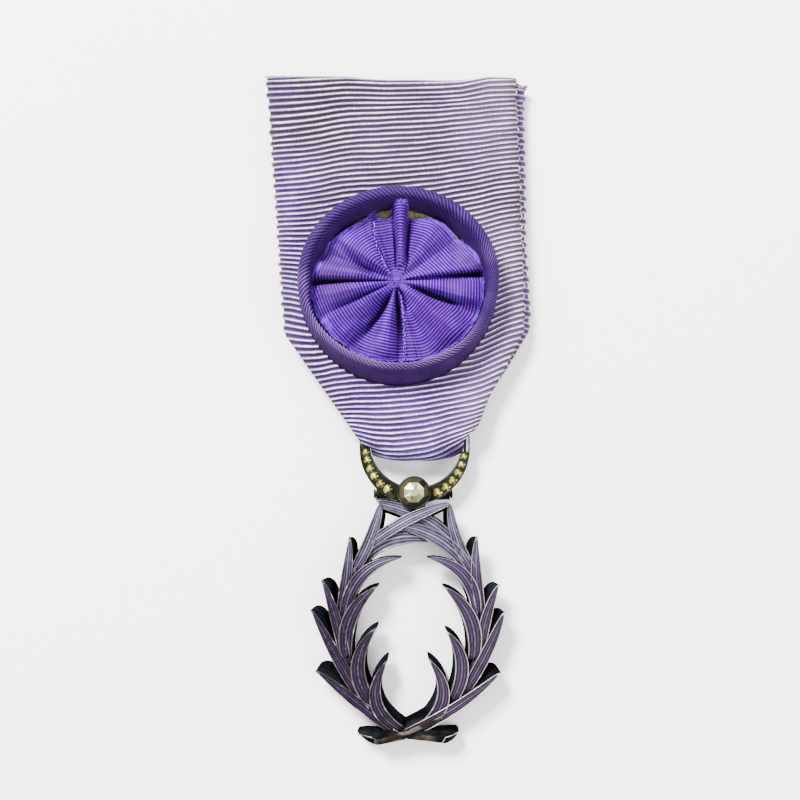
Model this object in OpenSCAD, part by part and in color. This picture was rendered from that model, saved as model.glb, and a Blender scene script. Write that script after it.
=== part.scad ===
// Order medal, lying on its back: a folded ribbon with a rosette, a crescent bail
// set with faceted stones, and a hinged wreath of two crossing palms.
// Millimetres. +X is to the right, +Y towards the top of the ribbon, +Z up from the table.

/* [Ribbon] */
// Height of the ribbon's top edge above the origin
ribbon_top_y = 51.05; // [46:0.05:54]
// Lowest point of the fold that carries the bail
ribbon_fold_y = -7.5; // [-8:0.1:-6.5]
// Thickness of one layer of the ribbed cloth
ribbon_t = 1.0; // [0.8:0.05:1.1]
// Height of the middle of the back layer above the table
back_layer_z = 1.75; // [1.7:0.05:2]
// Height of the middle of the front layer over most of its length
front_layer_z = 3.3; // [3.1:0.05:3.5]
// Height of the middle of the front layer over the bail's bar
fold_layer_z = 3.85; // [3.85:0.05:4]
// Sideways offset of the back layer, which shows past the right edge
back_layer_shift = 1.6; // [1:0.1:3]

/* [Rosette] */
// Outer radius of the collar at its foot
collar_foot_r = 15.05; // [14:0.05:16]
// Outer radius of the collar's rim across the ribbon
rim_rx = 15; // [14:0.05:15.05]
// Outer radius of the collar's rim along the ribbon
rim_ry = 13.6; // [12.5:0.05:14]
// Height of the collar
collar_h = 4.7; // [4:0.1:5.5]
// Distance of the rosette's centre above the origin
rosette_y = 18.8; // [17:0.1:20]
// Height of the highest pleats above the card
pleat_h = 2.9; // [2:0.1:3.2]

/* [Crescent] */
// Radius of the crescent's outer edge
crescent_r = 8.29; // [8:0.01:8.6]
// Radius of the crescent's inner edge
crescent_bore_r = 7.03; // [6.8:0.01:7.2]
// Thickness of the crescent plate
crescent_t = 1.3; // [1.1:0.05:1.3]
// Radius of the bail's wire
wire_r = 0.45; // [0.35:0.01:0.45]
// Girdle radius of the centre stone
centre_stone_r = 2.25; // [2:0.05:2.3]
// Girdle radius of the smallest stones, at the tips
tip_stone_r = 0.5; // [0.38:0.01:0.52]
// Girdle radius of the largest small stones, beside the collet
inner_stone_r = 0.7; // [0.6:0.01:0.7]

/* [Hinge] */
// Radius of the hinge barrels, which rest on the table
barrel_r = 0.9; // [0.85:0.01:0.95]
// Radius of the hinge pin
pin_r = 0.4; // [0.3:0.01:0.4]
// Radial play of the pin in its barrels
pin_play = 0.05; // [0.02:0.01:0.08]

/* [Wreath] */
// Height of the wreath's front face at the top of its opening
wreath_z = 4.85; // [4.7:0.05:5]
// Thickness of the wreath at its top
wreath_top_t = 2.25; // [2:0.05:2.3]
// Radius of the wreath's gentle dome
dome_r = 250; // [200:10:400]
// Share by which the back outline draws in towards the top of the opening
back_draw = 0.04; // [0:0.005:0.05]
// Rise of the silver edges above the enamel
edge_rise = 0.12; // [0.05:0.01:0.2]

/* [Hidden] */

// Ribbon outline, columns: height y, edge x
LEFT_EDGE = [[-4.9, -5.4], [11.8, -17.2], [46, -19.7], [51, -20.2]];
RIGHT_EDGE = [[-4, 10.6], [-2.5, 11.9], [2, 13.6], [6.9, 16.3], [12, 18.9], [15, 19.2], [50.4, 18]];
// Sideways offset of the back layer, columns: height y, share of back_layer_shift
BACK_SHIFT = [[2, 0], [14, 0.65], [26, 0.35], [39, 0.65], [51, 1]];
// Edges of the cloth where it turns round the bar, between the legs of the bail
fold_left_x = -3.9;
fold_right_x = 9.8;
fold_rise_left = 0.9;
fold_rise_right = 1.55;
rise_start = 0.82;
taper_y = 4.6;
top_dip = 0.3;
half_ribbon = 19;
ribbon_columns = 8;

// Rosette collar, columns: height as a share of collar_h, inset from the outer wall
COLLAR_PROFILE = [
    [0, 0], [0.5, 0], [0.88, 0.05], [0.98, 0.45], [1, 0.95], [0.93, 1.4], [0.8, 1.65],
    [0.16, 2.5], [0.13, 1.7], [0, 1.7]];
collar_segments = 56;
rim_shift = [0.07, 0.86];
cloth_gap = 0.05;
card_r = 13;
card_t = 0.4;
pleat_rx = 12.2;
pleat_ry = 11.6;
pleat_segments = 72;
// Pleat disc, columns: share of the radius, height as a share of pleat_h
PLEAT_PROFILE = [
    [0.07, 0.42], [0.2, 0.66], [0.42, 0.92], [0.65, 1], [0.85, 0.86], [0.96, 0.6], [1, 0.35]];
// Creases between the pleats, columns: angle, depth as a share of the height, half width in degrees
CREASES = [
    [-4, 0.75, 7], [-21, 0.7, 7], [-58, 0.45, 8], [-78, 0.75, 7], [-97, 0.6, 8], [-122, 0.7, 8],
    [-152, 0.35, 7], [178, 0.7, 6], [140, 0.6, 9], [112, 0.3, 6], [84, 0.3, 6], [68, 0.45, 7],
    [22, 0.35, 8]];

crescent_x = 2.5;
crescent_y = -5.7;
bore_x = 2.7;
bore_y = -4.48;
left_tip_y = -5.3;
right_tip_y = -6.1;
plate_z = 2 * barrel_r + 0.2;
plate_top_z = plate_z + crescent_t;
bar_y = -3.5;
bar_z = (back_layer_z + fold_layer_z) / 2;
leg_left_x = -5.36;
leg_right_x = 10.4;
elbow_r = 0.7;
collet_x = 2.38;
collet_y = -12.25;
collet_foot_r = 2.02;
collet_r = centre_stone_r + 0.18;
collet_rim_h = 0.5;
collet_top_z = 5.15;
collet_sink = 0.2;
stone_recess = 0.45;
wire_root = 0.6;
cutter = 20;
seat_gap = 0.04;
seat_depth = 0.5;
stone_track_r = 7.3;
stone_first_left = 184;
stone_first_right = -8.8;

hinge_y = -12.55;
hinge_z = barrel_r;
hinge_mid_x = 2.3;
knuckle_l = 6.3;
barrel_l = 2.3;
barrel_gap = 0.15;
bore_r = pin_r + pin_play;
pin_out = 0.1;
pin_head_r = pin_r + 0.25;
pin_head_t = 0.3;
// Blocks that join the outer barrels to the crescent
link_l = 1.6;
link_w = 1.25;
link_below = 0.35;
link_shift = 0.2;
link_sink = 0.1;
// Arm and block that join the middle barrel to the back of the wreath
arm_w = 3.6;
arm_l = 3.5;
arm_z = 1.1;
arm_t = 0.65;
block_l = 1.75;
block_t = 1.4;

coat_pin_y = 42;
coat_pin_l = 26;
coat_pin_r = 0.5;
pad_r = 1.1;
pad_inset = 2;

// Middle of the wreath's dome, at the top of its opening
DOME = [1.8, -19.3];
wreath_foot_y = -48.2;
leaf_back_gap = 0.3;
// Share of a leaf's thickness by which its back rises at the tip
tip_back_rise = 0.35;
// Leaves of both palms, columns: base x, base y, middle x, middle y, tip x, tip y, width, lift
LEAVES = [
    [0.1, -48.3, -6.1, -43.5, -12.3, -38.8, 1.55, 0.10],
    [-4.9, -43.8, -8.9, -37.1, -13.0, -29.7, 1.65, 0.06],
    [-7.6, -38.3, -9.1, -31.7, -11.4, -25.3, 1.6, 0.02],
    [-8.8, -31.1, -7.7, -25.0, -7.3, -18.9, 1.6, -0.02],
    [-6.5, -23.7, -4.2, -18.9, -2.7, -13.9, 1.5, 0.06],
    [0.8, -47.9, -3.3, -43.3, -1.6, -37.1, 2.0, 0.22],
    [-3.3, -44.4, -6.0, -38.3, -3.2, -32.3, 2.3, 0.18],
    [-7.6, -36.9, -7.1, -30.9, -3.1, -26.2, 2.35, 0.14],
    [-8.1, -31.1, -5.5, -24.7, 0.4, -21.9, 2.0, 0.10],
    [-5.4, -22.2, -1.0, -19.5, 4.9, -19.5, 1.95, -0.08],
    [-4.4, -20.2, 1.1, -16.5, 7.6, -13.9, 1.95, 0.2],
    [-0.1, -48.7, 8.0, -44.5, 15.3, -39.0, 1.6, 0.30],
    [9.4, -42.9, 13.2, -36.1, 15.9, -30.1, 1.7, 0.06],
    [12.2, -36.7, 13.1, -31.2, 15.1, -26.0, 1.5, 0.02],
    [12.6, -30.6, 11.7, -24.7, 11.9, -18.8, 1.7, -0.02],
    [11.3, -24.2, 8.8, -19.3, 7.7, -14.0, 1.5, 0.06],
    [2.8, -47.9, 6.7, -42.9, 4.6, -37.0, 2.1, 0.22],
    [8.1, -43.2, 9.5, -37.8, 7.3, -32.9, 2.1, 0.18],
    [11.2, -37.2, 10.8, -31.1, 6.9, -26.3, 2.3, 0.14],
    [11.7, -30.3, 9.8, -24.6, 4.5, -21.9, 2.0, 0.10],
    [10.1, -22.9, 6.2, -19.3, 1.3, -17.4, 2.0, 0.14],
    [10.2, -22.3, 4.8, -16.9, -2.5, -13.9, 1.75, -0.15]];
// Stems of the palms, columns: x, y
STEM_LEFT = [
    [2.4, -48.5], [0.9, -48.2], [-1.2, -47.4], [-3.6, -45.4], [-4.9, -43.3], [-6.5, -40.4], [-7.6, -38],
    [-8.4, -35.1], [-8.7, -32.4], [-8.5, -29.5], [-7.8, -26.6], [-6.8, -24.2],
    [-5.4, -21.8], [-4.4, -20.4]];
STEM_RIGHT = [
    [-0.8, -48.8], [0.9, -48.4], [4.1, -46.9], [7.3, -44.5], [9.4, -42], [11, -39], [12.1, -35.9],
    [12.8, -32.9], [12.6, -30], [12.1, -27.4], [11.3, -24.7], [10.2, -22.5], [8.9, -20.9]];
stem_r = 0.55;
stem_drop = 0.35;
// Corners of the flared, slant-cut ends of the stems, columns: x, y, z
STUB_LEFT = [
    [1.2, -47.4, 4.1], [-2.5, -48.2, 4.1], [-4.8, -48.2, 3.7], [-5.9, -48.1, 3], [-3.7, -48.7, 3.8],
    [-2.8, -49.5, 3.2], [1.2, -48.9, 3.6], [-5.3, -49.1, 1.2], [-4.3, -49.8, 1.4], [-3.5, -50.1, 1.6],
    [-2.9, -50.1, 1.8], [-6.2, -48.3, 0.6], [-6.1, -48, 0], [-5.8, -47.6, 0], [-4.7, -47.5, 0],
    [1.2, -48.1, 0], [1.2, -49.3, 0], [-4.8, -49.3, 0]];
STUB_RIGHT = [
    [1.2, -47.4, 4.1], [5.6, -48.1, 4.1], [7.6, -48.1, 3.8], [9, -47.8, 3], [7, -48.6, 3.9],
    [6.6, -49.5, 3.2],
    [1.2, -48.8, 3.6], [8.8, -48.8, 1.4], [8.1, -49.5, 1.4], [7.2, -49.9, 1.6], [9.2, -48.3, 0.6],
    [9.2, -47.8, 0],
    [8.9, -47.4, 0], [7.7, -47.4, 0], [1.2, -47.9, 0], [1.2, -49.2, 0], [8.2, -49.3, 0]];
leaf_steps = 9;
tip_w = 0.16;

function mix(a, b, t) = a + (b - a) * t;
function clamp01(t) = max(0, min(1, t));
function smooth01(t) = let (c = clamp01(t)) c * c * (3 - 2 * c);

// Ribbon

turn_r = (fold_layer_z - back_layer_z) / 2;
top_turn_r = (front_layer_z - back_layer_z) / 2;
turn_y = ribbon_fold_y + turn_r + ribbon_t / 2;
turn_top_y = ribbon_top_y - top_turn_r - ribbon_t / 2;
FRONT_STEPS = [0, 0.08, 0.18, 0.29, 0.4, 0.51, 0.6, 0.66, 0.72, 0.78, 0.84, 0.9, 0.95, 0.975, 0.99, 1];
TURN_STEPS = [for (i = [1:5]) i / 6];
BACK_STEPS = [1, 0.99, 0.975, 0.95, 0.88, 0.8, 0.72, 0.66, 0.5, 0.33, 0.16, 0];
TOP_STEPS = [for (i = [1:3]) i / 4];

function layer_y(s) = mix(turn_top_y, turn_y, s);
function front_z(s) = let (t = (taper_y - layer_y(s)) / (taper_y - turn_y))
    mix(front_layer_z, fold_layer_z, smooth01(t));
// A station is: middle y, middle z, direction of the outer face, share of the way down, share back
function ribbon_stations() = concat(
    [for (s = FRONT_STEPS) [layer_y(s), front_z(s), 90, s, 0]],
    [for (t = TURN_STEPS) let (a = 90 + 180 * t)
        [turn_y + turn_r * cos(a), bar_z + turn_r * sin(a), a, 1, t]],
    [for (s = BACK_STEPS) [layer_y(s), back_layer_z, 270, s, 1]],
    [for (t = TOP_STEPS) [turn_top_y + top_turn_r * cos(270 + 180 * t),
        back_layer_z + top_turn_r + top_turn_r * sin(270 + 180 * t), 270 + 180 * t, 0, 1 - t]]);
function edge_rise(st, rise) = rise * smooth01((st[3] - rise_start) / (1 - rise_start));
function edge_x(st, table, rise, fold_x) = let (y = st[0] + edge_rise(st, rise))
    st[3] == 1 ? fold_x : lookup(y, table) + st[4] * back_layer_shift * lookup(y, BACK_SHIFT);
function ribbon_point(st, u, side) = let (
    left = edge_x(st, LEFT_EDGE, fold_rise_left, fold_left_x),
    right = edge_x(st, RIGHT_EDGE, fold_rise_right, fold_right_x),
    x = mix(left, right, u),
    sag = edge_rise(st, u < 0.5 ? fold_rise_left : fold_rise_right) * pow(abs(2 * u - 1), 3),
    dip = top_dip * max(0, 1 - pow(x / half_ribbon, 2)) * smooth01(1 - st[3] / 0.1),
    off = side * ribbon_t / 2)
    [x, st[0] + sag - dip + off * cos(st[2]), st[1] + off * sin(st[2])];

module ribbon() {
    stations = ribbon_stations();
    n = len(stations);
    m = ribbon_columns;
    points = [for (st = stations) for (j = [0:m]) for (side = [1, -1]) ribbon_point(st, j / m, side)];
    function at(i, j, k) = ((i % n) * (m + 1) + j) * 2 + k;
    faces = concat(
        [for (i = [0:n - 1]) for (j = [0:m - 1]) [at(i, j, 0), at(i + 1, j, 0), at(i + 1, j + 1, 0)]],
        [for (i = [0:n - 1]) for (j = [0:m - 1]) [at(i, j, 0), at(i + 1, j + 1, 0), at(i, j + 1, 0)]],
        [for (i = [0:n - 1]) for (j = [0:m - 1]) [at(i, j, 1), at(i + 1, j + 1, 1), at(i + 1, j, 1)]],
        [for (i = [0:n - 1]) for (j = [0:m - 1]) [at(i, j, 1), at(i, j + 1, 1), at(i + 1, j + 1, 1)]],
        [for (i = [0:n - 1]) [at(i, 0, 0), at(i, 0, 1), at(i + 1, 0, 1)]],
        [for (i = [0:n - 1]) [at(i, 0, 0), at(i + 1, 0, 1), at(i + 1, 0, 0)]],
        [for (i = [0:n - 1]) [at(i, m, 0), at(i + 1, m, 0), at(i + 1, m, 1)]],
        [for (i = [0:n - 1]) [at(i, m, 0), at(i + 1, m, 1), at(i, m, 1)]]);
    color([0.62, 0.56, 0.78]) polyhedron(points, [for (f = faces) [f[2], f[1], f[0]]]);
}

// Rosette

rosette_z = front_layer_z + ribbon_t / 2 + cloth_gap;
card_z = rosette_z + cloth_gap;
pleats_z = card_z + card_t + cloth_gap;

function collar_point(row, a) = let (h = row[0])
    [rim_shift[0] * h + (mix(collar_foot_r, rim_rx, h) - row[1]) * cos(a),
     rosette_y + rim_shift[1] * h + (mix(collar_foot_r, rim_ry, h) - row[1]) * sin(a),
     rosette_z + collar_h * h];

module rosette_ring() {
    n = collar_segments;
    m = len(COLLAR_PROFILE);
    points = [for (i = [0:n - 1]) for (row = COLLAR_PROFILE) collar_point(row, 360 * i / n)];
    function at(i, j) = (i % n) * m + j % m;
    faces = [for (i = [0:n - 1]) for (j = [0:m - 1])
        for (f = [[at(i, j), at(i, j + 1), at(i + 1, j + 1)],
            [at(i, j), at(i + 1, j + 1), at(i + 1, j)]]) f];
    color([0.45, 0.38, 0.62]) polyhedron(points, faces);
}

module rosette_card() {
    color([0.52, 0.46, 0.26]) translate([0, rosette_y, card_z])
        cylinder(r = card_r, h = card_t, $fn = 96);
}

function turn_gap(a, b) = let (d = abs(a - b) % 360) min(d, 360 - d);
function crease(a) = min(1, sum([for (c = CREASES) c[1] * exp(-pow(turn_gap(a, c[0]) / c[2], 2))]));
function sum(v) = len(v) == 0 ? 0 : v * [for (x = v) 1];
function pleat_point(row, a) = let (cut = crease(a) * smooth01(row[0] / 0.25))
    [rim_shift[0] / 2 + pleat_rx * row[0] * cos(a),
     rosette_y + rim_shift[1] / 2 + pleat_ry * row[0] * sin(a),
     pleats_z + pleat_h * row[1] * (1 - 0.8 * cut)];

module rosette_pleats() {
    n = pleat_segments;
    m = len(PLEAT_PROFILE);
    rim = PLEAT_PROFILE[m - 1];
    points = concat(
        [for (i = [0:n - 1]) for (row = PLEAT_PROFILE) pleat_point(row, 360 * i / n)],
        [for (i = [0:n - 1]) let (p = pleat_point(rim, 360 * i / n)) [p[0], p[1], pleats_z]],
        [[rim_shift[0] / 2, rosette_y + rim_shift[1] / 2, pleats_z + pleat_h * 0.35]]);
    function at(i, j) = (i % n) * m + j;
    function foot(i) = n * m + i % n;
    hub = n * (m + 1);
    faces = concat(
        [for (i = [0:n - 1]) for (j = [0:m - 2])
            for (f = [[at(i, j), at(i + 1, j + 1), at(i, j + 1)],
                [at(i, j), at(i + 1, j), at(i + 1, j + 1)]]) f],
        [for (i = [0:n - 1]) [hub, at(i + 1, 0), at(i, 0)]],
        [for (i = [0:n - 1]) [at(i, m - 1), foot(i + 1), foot(i)]],
        [for (i = [0:n - 1]) [at(i, m - 1), at(i + 1, m - 1), foot(i + 1)]],
        [[for (i = [0:n - 1]) foot(i)]]);
    color([0.47, 0.36, 0.85]) polyhedron(points, faces);
}

// Crescent bail

function stone_angle(side, i) = let (k = i - 1, off = 9.6 * k + 0.2 * k * k)
    side < 0 ? stone_first_left + off : stone_first_right - off;
function stone_track(side) = side < 0 ? stone_track_r : stone_track_r + 0.2;
function stone_r(i) = mix(tip_stone_r, inner_stone_r, (i - 1) / 5);
function stone_at(side, i) = [crescent_x + stone_track(side) * cos(stone_angle(side, i)),
    crescent_y + stone_track(side) * sin(stone_angle(side, i))];

module crescent_plate() {
    translate([0, 0, plate_z]) linear_extrude(crescent_t) difference() {
        translate([crescent_x, crescent_y]) circle(r = crescent_r, $fn = 128);
        translate([bore_x, bore_y]) circle(r = crescent_bore_r, $fn = 128);
        translate([crescent_x - cutter, left_tip_y]) square([cutter, cutter]);
        translate([crescent_x, right_tip_y]) square([cutter, cutter]);
    }
}

module wire_leg(x, foot_y) {
    translate([x, foot_y, bar_z]) rotate([-90, 0, 0])
        cylinder(r = wire_r, h = bar_y - elbow_r - foot_y, $fn = 32);
}

module elbow(x, turn) {
    translate([x, bar_y - elbow_r, bar_z]) rotate([0, 0, turn])
        rotate_extrude(angle = 90, $fn = 48) translate([elbow_r, 0]) circle(r = wire_r, $fn = 32);
}

module bail_wire() {
    wire_leg(leg_left_x, left_tip_y - wire_root);
    wire_leg(leg_right_x, right_tip_y - wire_root);
    elbow(leg_left_x + elbow_r, 90);
    elbow(leg_right_x - elbow_r, 0);
    translate([leg_left_x + elbow_r, bar_y, bar_z]) rotate([0, 90, 0])
        cylinder(r = wire_r, h = leg_right_x - leg_left_x - 2 * elbow_r, $fn = 32);
}

module collet() {
    cone_h = collet_top_z - collet_rim_h - plate_top_z + collet_sink;
    translate([collet_x, collet_y, plate_top_z - collet_sink])
        cylinder(r1 = collet_foot_r, r2 = collet_r, h = cone_h, $fn = 64);
    translate([collet_x, collet_y, collet_top_z - collet_rim_h])
        cylinder(r = collet_r, h = collet_rim_h, $fn = 64);
}

module outer_barrels() {
    for (side = [-1, 1]) {
        x0 = hinge_mid_x + side * (knuckle_l / 2 + barrel_gap + barrel_l / 2);
        translate([x0 - barrel_l / 2, hinge_y, hinge_z]) rotate([0, 90, 0])
            cylinder(r = barrel_r, h = barrel_l, $fn = 48);
        translate([x0 - side * link_shift - link_l / 2, hinge_y - link_below, hinge_z])
            cube([link_l, link_w, plate_z - hinge_z + link_sink]);
    }
}

module hinge_bore() {
    translate([hinge_mid_x, hinge_y, hinge_z]) rotate([0, 90, 0])
        cylinder(r = bore_r, h = cutter, center = true, $fn = 48);
}

module crescent() {
    color([0.16, 0.17, 0.13]) difference() {
        union() {
            crescent_plate();
            bail_wire();
            collet();
            outer_barrels();
        }
        hinge_bore();
        translate([collet_x, collet_y, collet_top_z - stone_recess])
            cylinder(r = centre_stone_r + seat_gap, h = 2 * stone_recess, $fn = 64);
        for (side = [-1, 1]) for (i = [1:6]) {
            p = stone_at(side, i);
            translate([p[0], p[1], plate_top_z - seat_depth])
                cylinder(r = stone_r(i) + seat_gap, h = 2 * seat_depth, $fn = 32);
        }
    }
}

// Stones: rings of points from the foot up, columns: radius share, height, number of sides, turn

function stone_ring(row) = [for (k = [0:row[2] - 1]) let (a = 360 * (k + row[3]) / row[2])
    [row[0] * cos(a), row[0] * sin(a), row[1]]];

module cut_stone(rows) {
    starts = [for (i = 0, at = 0; i < len(rows); at = at + rows[i][2], i = i + 1) at];
    hull() polyhedron(
        [for (row = rows) each stone_ring(row)],
        [for (i = [0:len(rows) - 1]) [for (k = [0:rows[i][2] - 1]) starts[i] + k]]);
}

module small_stone(side, i) {
    p = stone_at(side, i);
    r = stone_r(i);
    color([0.75, 0.7, 0.42]) translate([p[0], p[1], plate_top_z])
        cut_stone([[0.6 * r, 0.05 - seat_depth, 8, 0], [r, -0.04, 8, 0], [r, 0.05, 8, 0],
            [0.72 * r, 0.3 * r + 0.05, 8, 0.5], [0.36 * r, 0.48 * r + 0.05, 8, 0]]);
}

module centre_stone() {
    r = centre_stone_r;
    color([0.66, 0.68, 0.58]) translate([collet_x, collet_y, collet_top_z])
        cut_stone([[0.8 * r, -0.4, 16, 0.5], [r, -0.1, 16, 0.5], [r, 0.02, 16, 0.5],
            [0.7 * r, 0.62, 8, 0.5], [0.26 * r, 0.98, 8, 0]]);
}

// Hinge pin, through all three barrels

module hinge_pin() {
    half = knuckle_l / 2 + barrel_gap + barrel_l;
    color([0.3, 0.3, 0.27]) translate([hinge_mid_x, hinge_y, hinge_z]) rotate([0, 90, 0]) {
        cylinder(r = pin_r, h = 2 * (half + pin_out), center = true, $fn = 48);
        for (side = [-1, 1]) translate([0, 0, side * (half + pin_out + pin_head_t / 2)])
            cylinder(r = pin_head_r, h = pin_head_t, center = true, $fn = 48);
    }
}

// Pin on the back of the ribbon

module coat_pin() {
    color([0.6, 0.6, 0.56]) {
        translate([-coat_pin_l / 2, coat_pin_y, coat_pin_r]) rotate([0, 90, 0])
            cylinder(r = coat_pin_r, h = coat_pin_l, $fn = 32);
        for (side = [-1, 1]) translate([side * (coat_pin_l / 2 - pad_inset), coat_pin_y, coat_pin_r])
            cylinder(r = pad_r, h = back_layer_z - ribbon_t / 2 - cloth_gap - coat_pin_r, $fn = 32);
    }
}

// Wreath

function dome_front(p) = wreath_z - pow(norm(p - DOME), 2) / (2 * dome_r);
function flat_back(p) = let (t = (p[1] - wreath_foot_y) / (DOME[1] - wreath_foot_y))
    (wreath_z - wreath_top_t) * clamp01(t);
function drawn_in(p) = p - back_draw * (p - DOME);
function spine(row, t) = let (
    base = [row[0], row[1]],
    middle = [row[2], row[3]],
    tip = [row[4], row[5]])
    (1 - t) * (1 - 2 * t) * base + 4 * t * (1 - t) * middle + t * (2 * t - 1) * tip;
// Width along a leaf: two thirds at its base, full before the middle, a point at its tip
function leaf_w(width, t) = max(tip_w, width * pow(sin(180 * mix(0.2, 1, t)), 0.8));

// One blade section across the spine: back, raised edge, sunk middle, raised edge, back
function section(c, across, w, lift, rise) = let (
    a = c + across * w / 2,
    b = c - across * w / 2,
    ab = drawn_in(a),
    bb = drawn_in(b),
    dip = min(edge_rise, w * 0.15))
    [[ab[0], ab[1], mix(flat_back(a) + leaf_back_gap - lift, dome_front(a), rise)],
     [a[0], a[1], dome_front(a) + lift], [c[0], c[1], dome_front(c) + lift - dip],
     [b[0], b[1], dome_front(b) + lift],
     [bb[0], bb[1], mix(flat_back(b) + leaf_back_gap - lift, dome_front(b), rise)]];

module blade(sections) {
    n = len(sections);
    m = len(sections[0]);
    points = [for (s = sections) for (p = s) p];
    function at(i, j) = i * m + j % m;
    faces = concat(
        [for (i = [0:n - 2]) for (j = [0:m - 1])
            for (f = [[at(i, j), at(i + 1, j + 1), at(i, j + 1)],
                [at(i, j), at(i + 1, j), at(i + 1, j + 1)]]) f],
        [for (j = [1:m - 2]) [at(0, 0), at(0, j), at(0, j + 1)]],
        [for (j = [1:m - 2]) [at(n - 1, 0), at(n - 1, j + 1), at(n - 1, j)]]);
    polyhedron(points, faces);
}

module leaf(row) {
    sections = [for (i = [0:leaf_steps]) let (
        t = i / leaf_steps,
        c = spine(row, t),
        d = spine(row, min(1, t + 0.02)) - spine(row, max(0, t - 0.02)),
        across = [-d[1], d[0]] / norm(d))
        section(c, across, leaf_w(row[6], t), row[7], tip_back_rise * pow(t, 6))];
    blade(sections);
}

module stub(corners) {
    hull() polyhedron(corners, [[for (i = [0:len(corners) - 1]) i]]);
}

module stem_post(p) {
    translate([p[0], p[1], flat_back(p)])
        cylinder(r = stem_r, h = dome_front(p) - flat_back(p) - stem_drop, $fn = 8);
}

module stem(route) {
    for (i = [0:len(route) - 2]) hull() {
        stem_post(route[i]);
        stem_post(route[i + 1]);
    }
}

module wreath() {
    color([0.42, 0.38, 0.5]) union() {
        for (row = LEAVES) leaf(row);
        stub(STUB_LEFT);
        stub(STUB_RIGHT);
        stem(STEM_LEFT);
        stem(STEM_RIGHT);
    }
}

module wreath_knuckle() {
    color([0.2, 0.2, 0.18]) difference() {
        union() {
            translate([hinge_mid_x - knuckle_l / 2, hinge_y, hinge_z]) rotate([0, 90, 0])
                cylinder(r = barrel_r, h = knuckle_l, $fn = 48);
            translate([hinge_mid_x - arm_w / 2, hinge_y - arm_l, arm_z]) cube([arm_w, arm_l, arm_t]);
            translate([hinge_mid_x - arm_w / 2, hinge_y - arm_l, arm_z])
                cube([arm_w, block_l, block_t]);
        }
        hinge_bore();
    }
}

ribbon();
rosette_ring();
rosette_pleats();
rosette_card();
crescent();
centre_stone();
for (i = [1:6]) {
    small_stone(-1, i);
    small_stone(1, i);
}
hinge_pin();
coat_pin();
wreath();
wreath_knuckle();
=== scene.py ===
import math

import bmesh
import bpy
import numpy as np
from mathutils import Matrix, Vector


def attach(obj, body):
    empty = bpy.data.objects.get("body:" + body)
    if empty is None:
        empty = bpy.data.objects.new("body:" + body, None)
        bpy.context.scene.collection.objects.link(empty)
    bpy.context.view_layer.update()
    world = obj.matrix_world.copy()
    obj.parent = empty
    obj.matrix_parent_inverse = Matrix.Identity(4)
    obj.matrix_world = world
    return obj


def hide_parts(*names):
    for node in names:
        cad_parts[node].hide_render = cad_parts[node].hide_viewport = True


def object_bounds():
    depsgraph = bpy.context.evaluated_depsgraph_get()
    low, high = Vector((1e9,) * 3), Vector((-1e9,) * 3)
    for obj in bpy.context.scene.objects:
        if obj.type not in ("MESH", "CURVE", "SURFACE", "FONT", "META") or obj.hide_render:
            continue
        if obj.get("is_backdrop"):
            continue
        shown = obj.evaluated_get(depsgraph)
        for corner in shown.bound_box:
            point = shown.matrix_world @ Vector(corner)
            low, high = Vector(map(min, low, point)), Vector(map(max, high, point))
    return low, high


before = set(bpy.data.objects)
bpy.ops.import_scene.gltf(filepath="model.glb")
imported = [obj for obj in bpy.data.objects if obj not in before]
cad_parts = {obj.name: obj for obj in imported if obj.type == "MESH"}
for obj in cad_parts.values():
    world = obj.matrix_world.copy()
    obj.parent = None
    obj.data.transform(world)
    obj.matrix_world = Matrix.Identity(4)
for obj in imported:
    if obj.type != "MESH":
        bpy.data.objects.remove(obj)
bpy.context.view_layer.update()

MM = 0.001
SEED = 11
ROOT = "ribbon_and_bail"
PALMS = "palm_wreath"
FULL_TURN = 2 * math.pi


# Numbers

def smooth01(t):
    t = np.clip(t, 0.0, 1.0)
    return t * t * (3 - 2 * t)


def mix(a, b, t):
    return a + (b - a) * t


def lookup(x, rows):
    """Value at x in a table of places and values."""
    places, values = np.array(sorted(rows), float).T
    return np.interp(x, places, values)


def bell(x, centre, width, power):
    return np.exp(-((x - centre) / width) ** power)


def noise1(x, step, seed, count=512):
    """Smooth noise from -1 to 1 along x, with one random value per step."""
    values = np.random.default_rng(seed).uniform(-1, 1, count)
    t = np.asarray(x, float) / step
    i = np.floor(t).astype(int)
    return mix(values[i % count], values[(i + 1) % count], smooth01(t - i))


def noise2(x, y, step_x, step_y, seed, count=256):
    """Smooth noise from -1 to 1 over the plane, with one random value per cell."""
    values = np.random.default_rng(seed).uniform(-1, 1, (count, count))
    a, b = np.asarray(x, float) / step_x, np.asarray(y, float) / step_y
    i, j = np.floor(a).astype(int), np.floor(b).astype(int)
    u, v = smooth01(a - i), smooth01(b - j)
    i, next_i = i % count, (i + 1) % count
    j, next_j = j % count, (j + 1) % count
    low = mix(values[i, j], values[next_i, j], u)
    high = mix(values[i, next_j], values[next_i, next_j], u)
    return mix(low, high, v)


def unit(vectors):
    return vectors / (np.linalg.norm(vectors, axis=-1, keepdims=True) + 1e-9)


def arc(centre, radius, degrees, z):
    """Points at a radius and an angle round a centre."""
    a = np.radians(degrees)
    return np.stack([centre[0] + radius * np.cos(a), centre[1] + radius * np.sin(a), z + 0 * a], axis=-1)


def follow(route, marks, at):
    """Points of a line at the places at, where its corners lie at the places marks."""
    return np.stack([np.interp(at, marks, column) for column in np.transpose(route)], axis=-1)


# Meshes, made in millimetres

def add_object(name, data):
    obj = bpy.data.objects.new(name, data)
    bpy.context.scene.collection.objects.link(obj)
    return obj


def set_attribute(mesh, name, values):
    layer = mesh.attributes.new(name, "FLOAT", "POINT")
    layer.data.foreach_set("value", np.asarray(values, np.float32).ravel())


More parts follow.
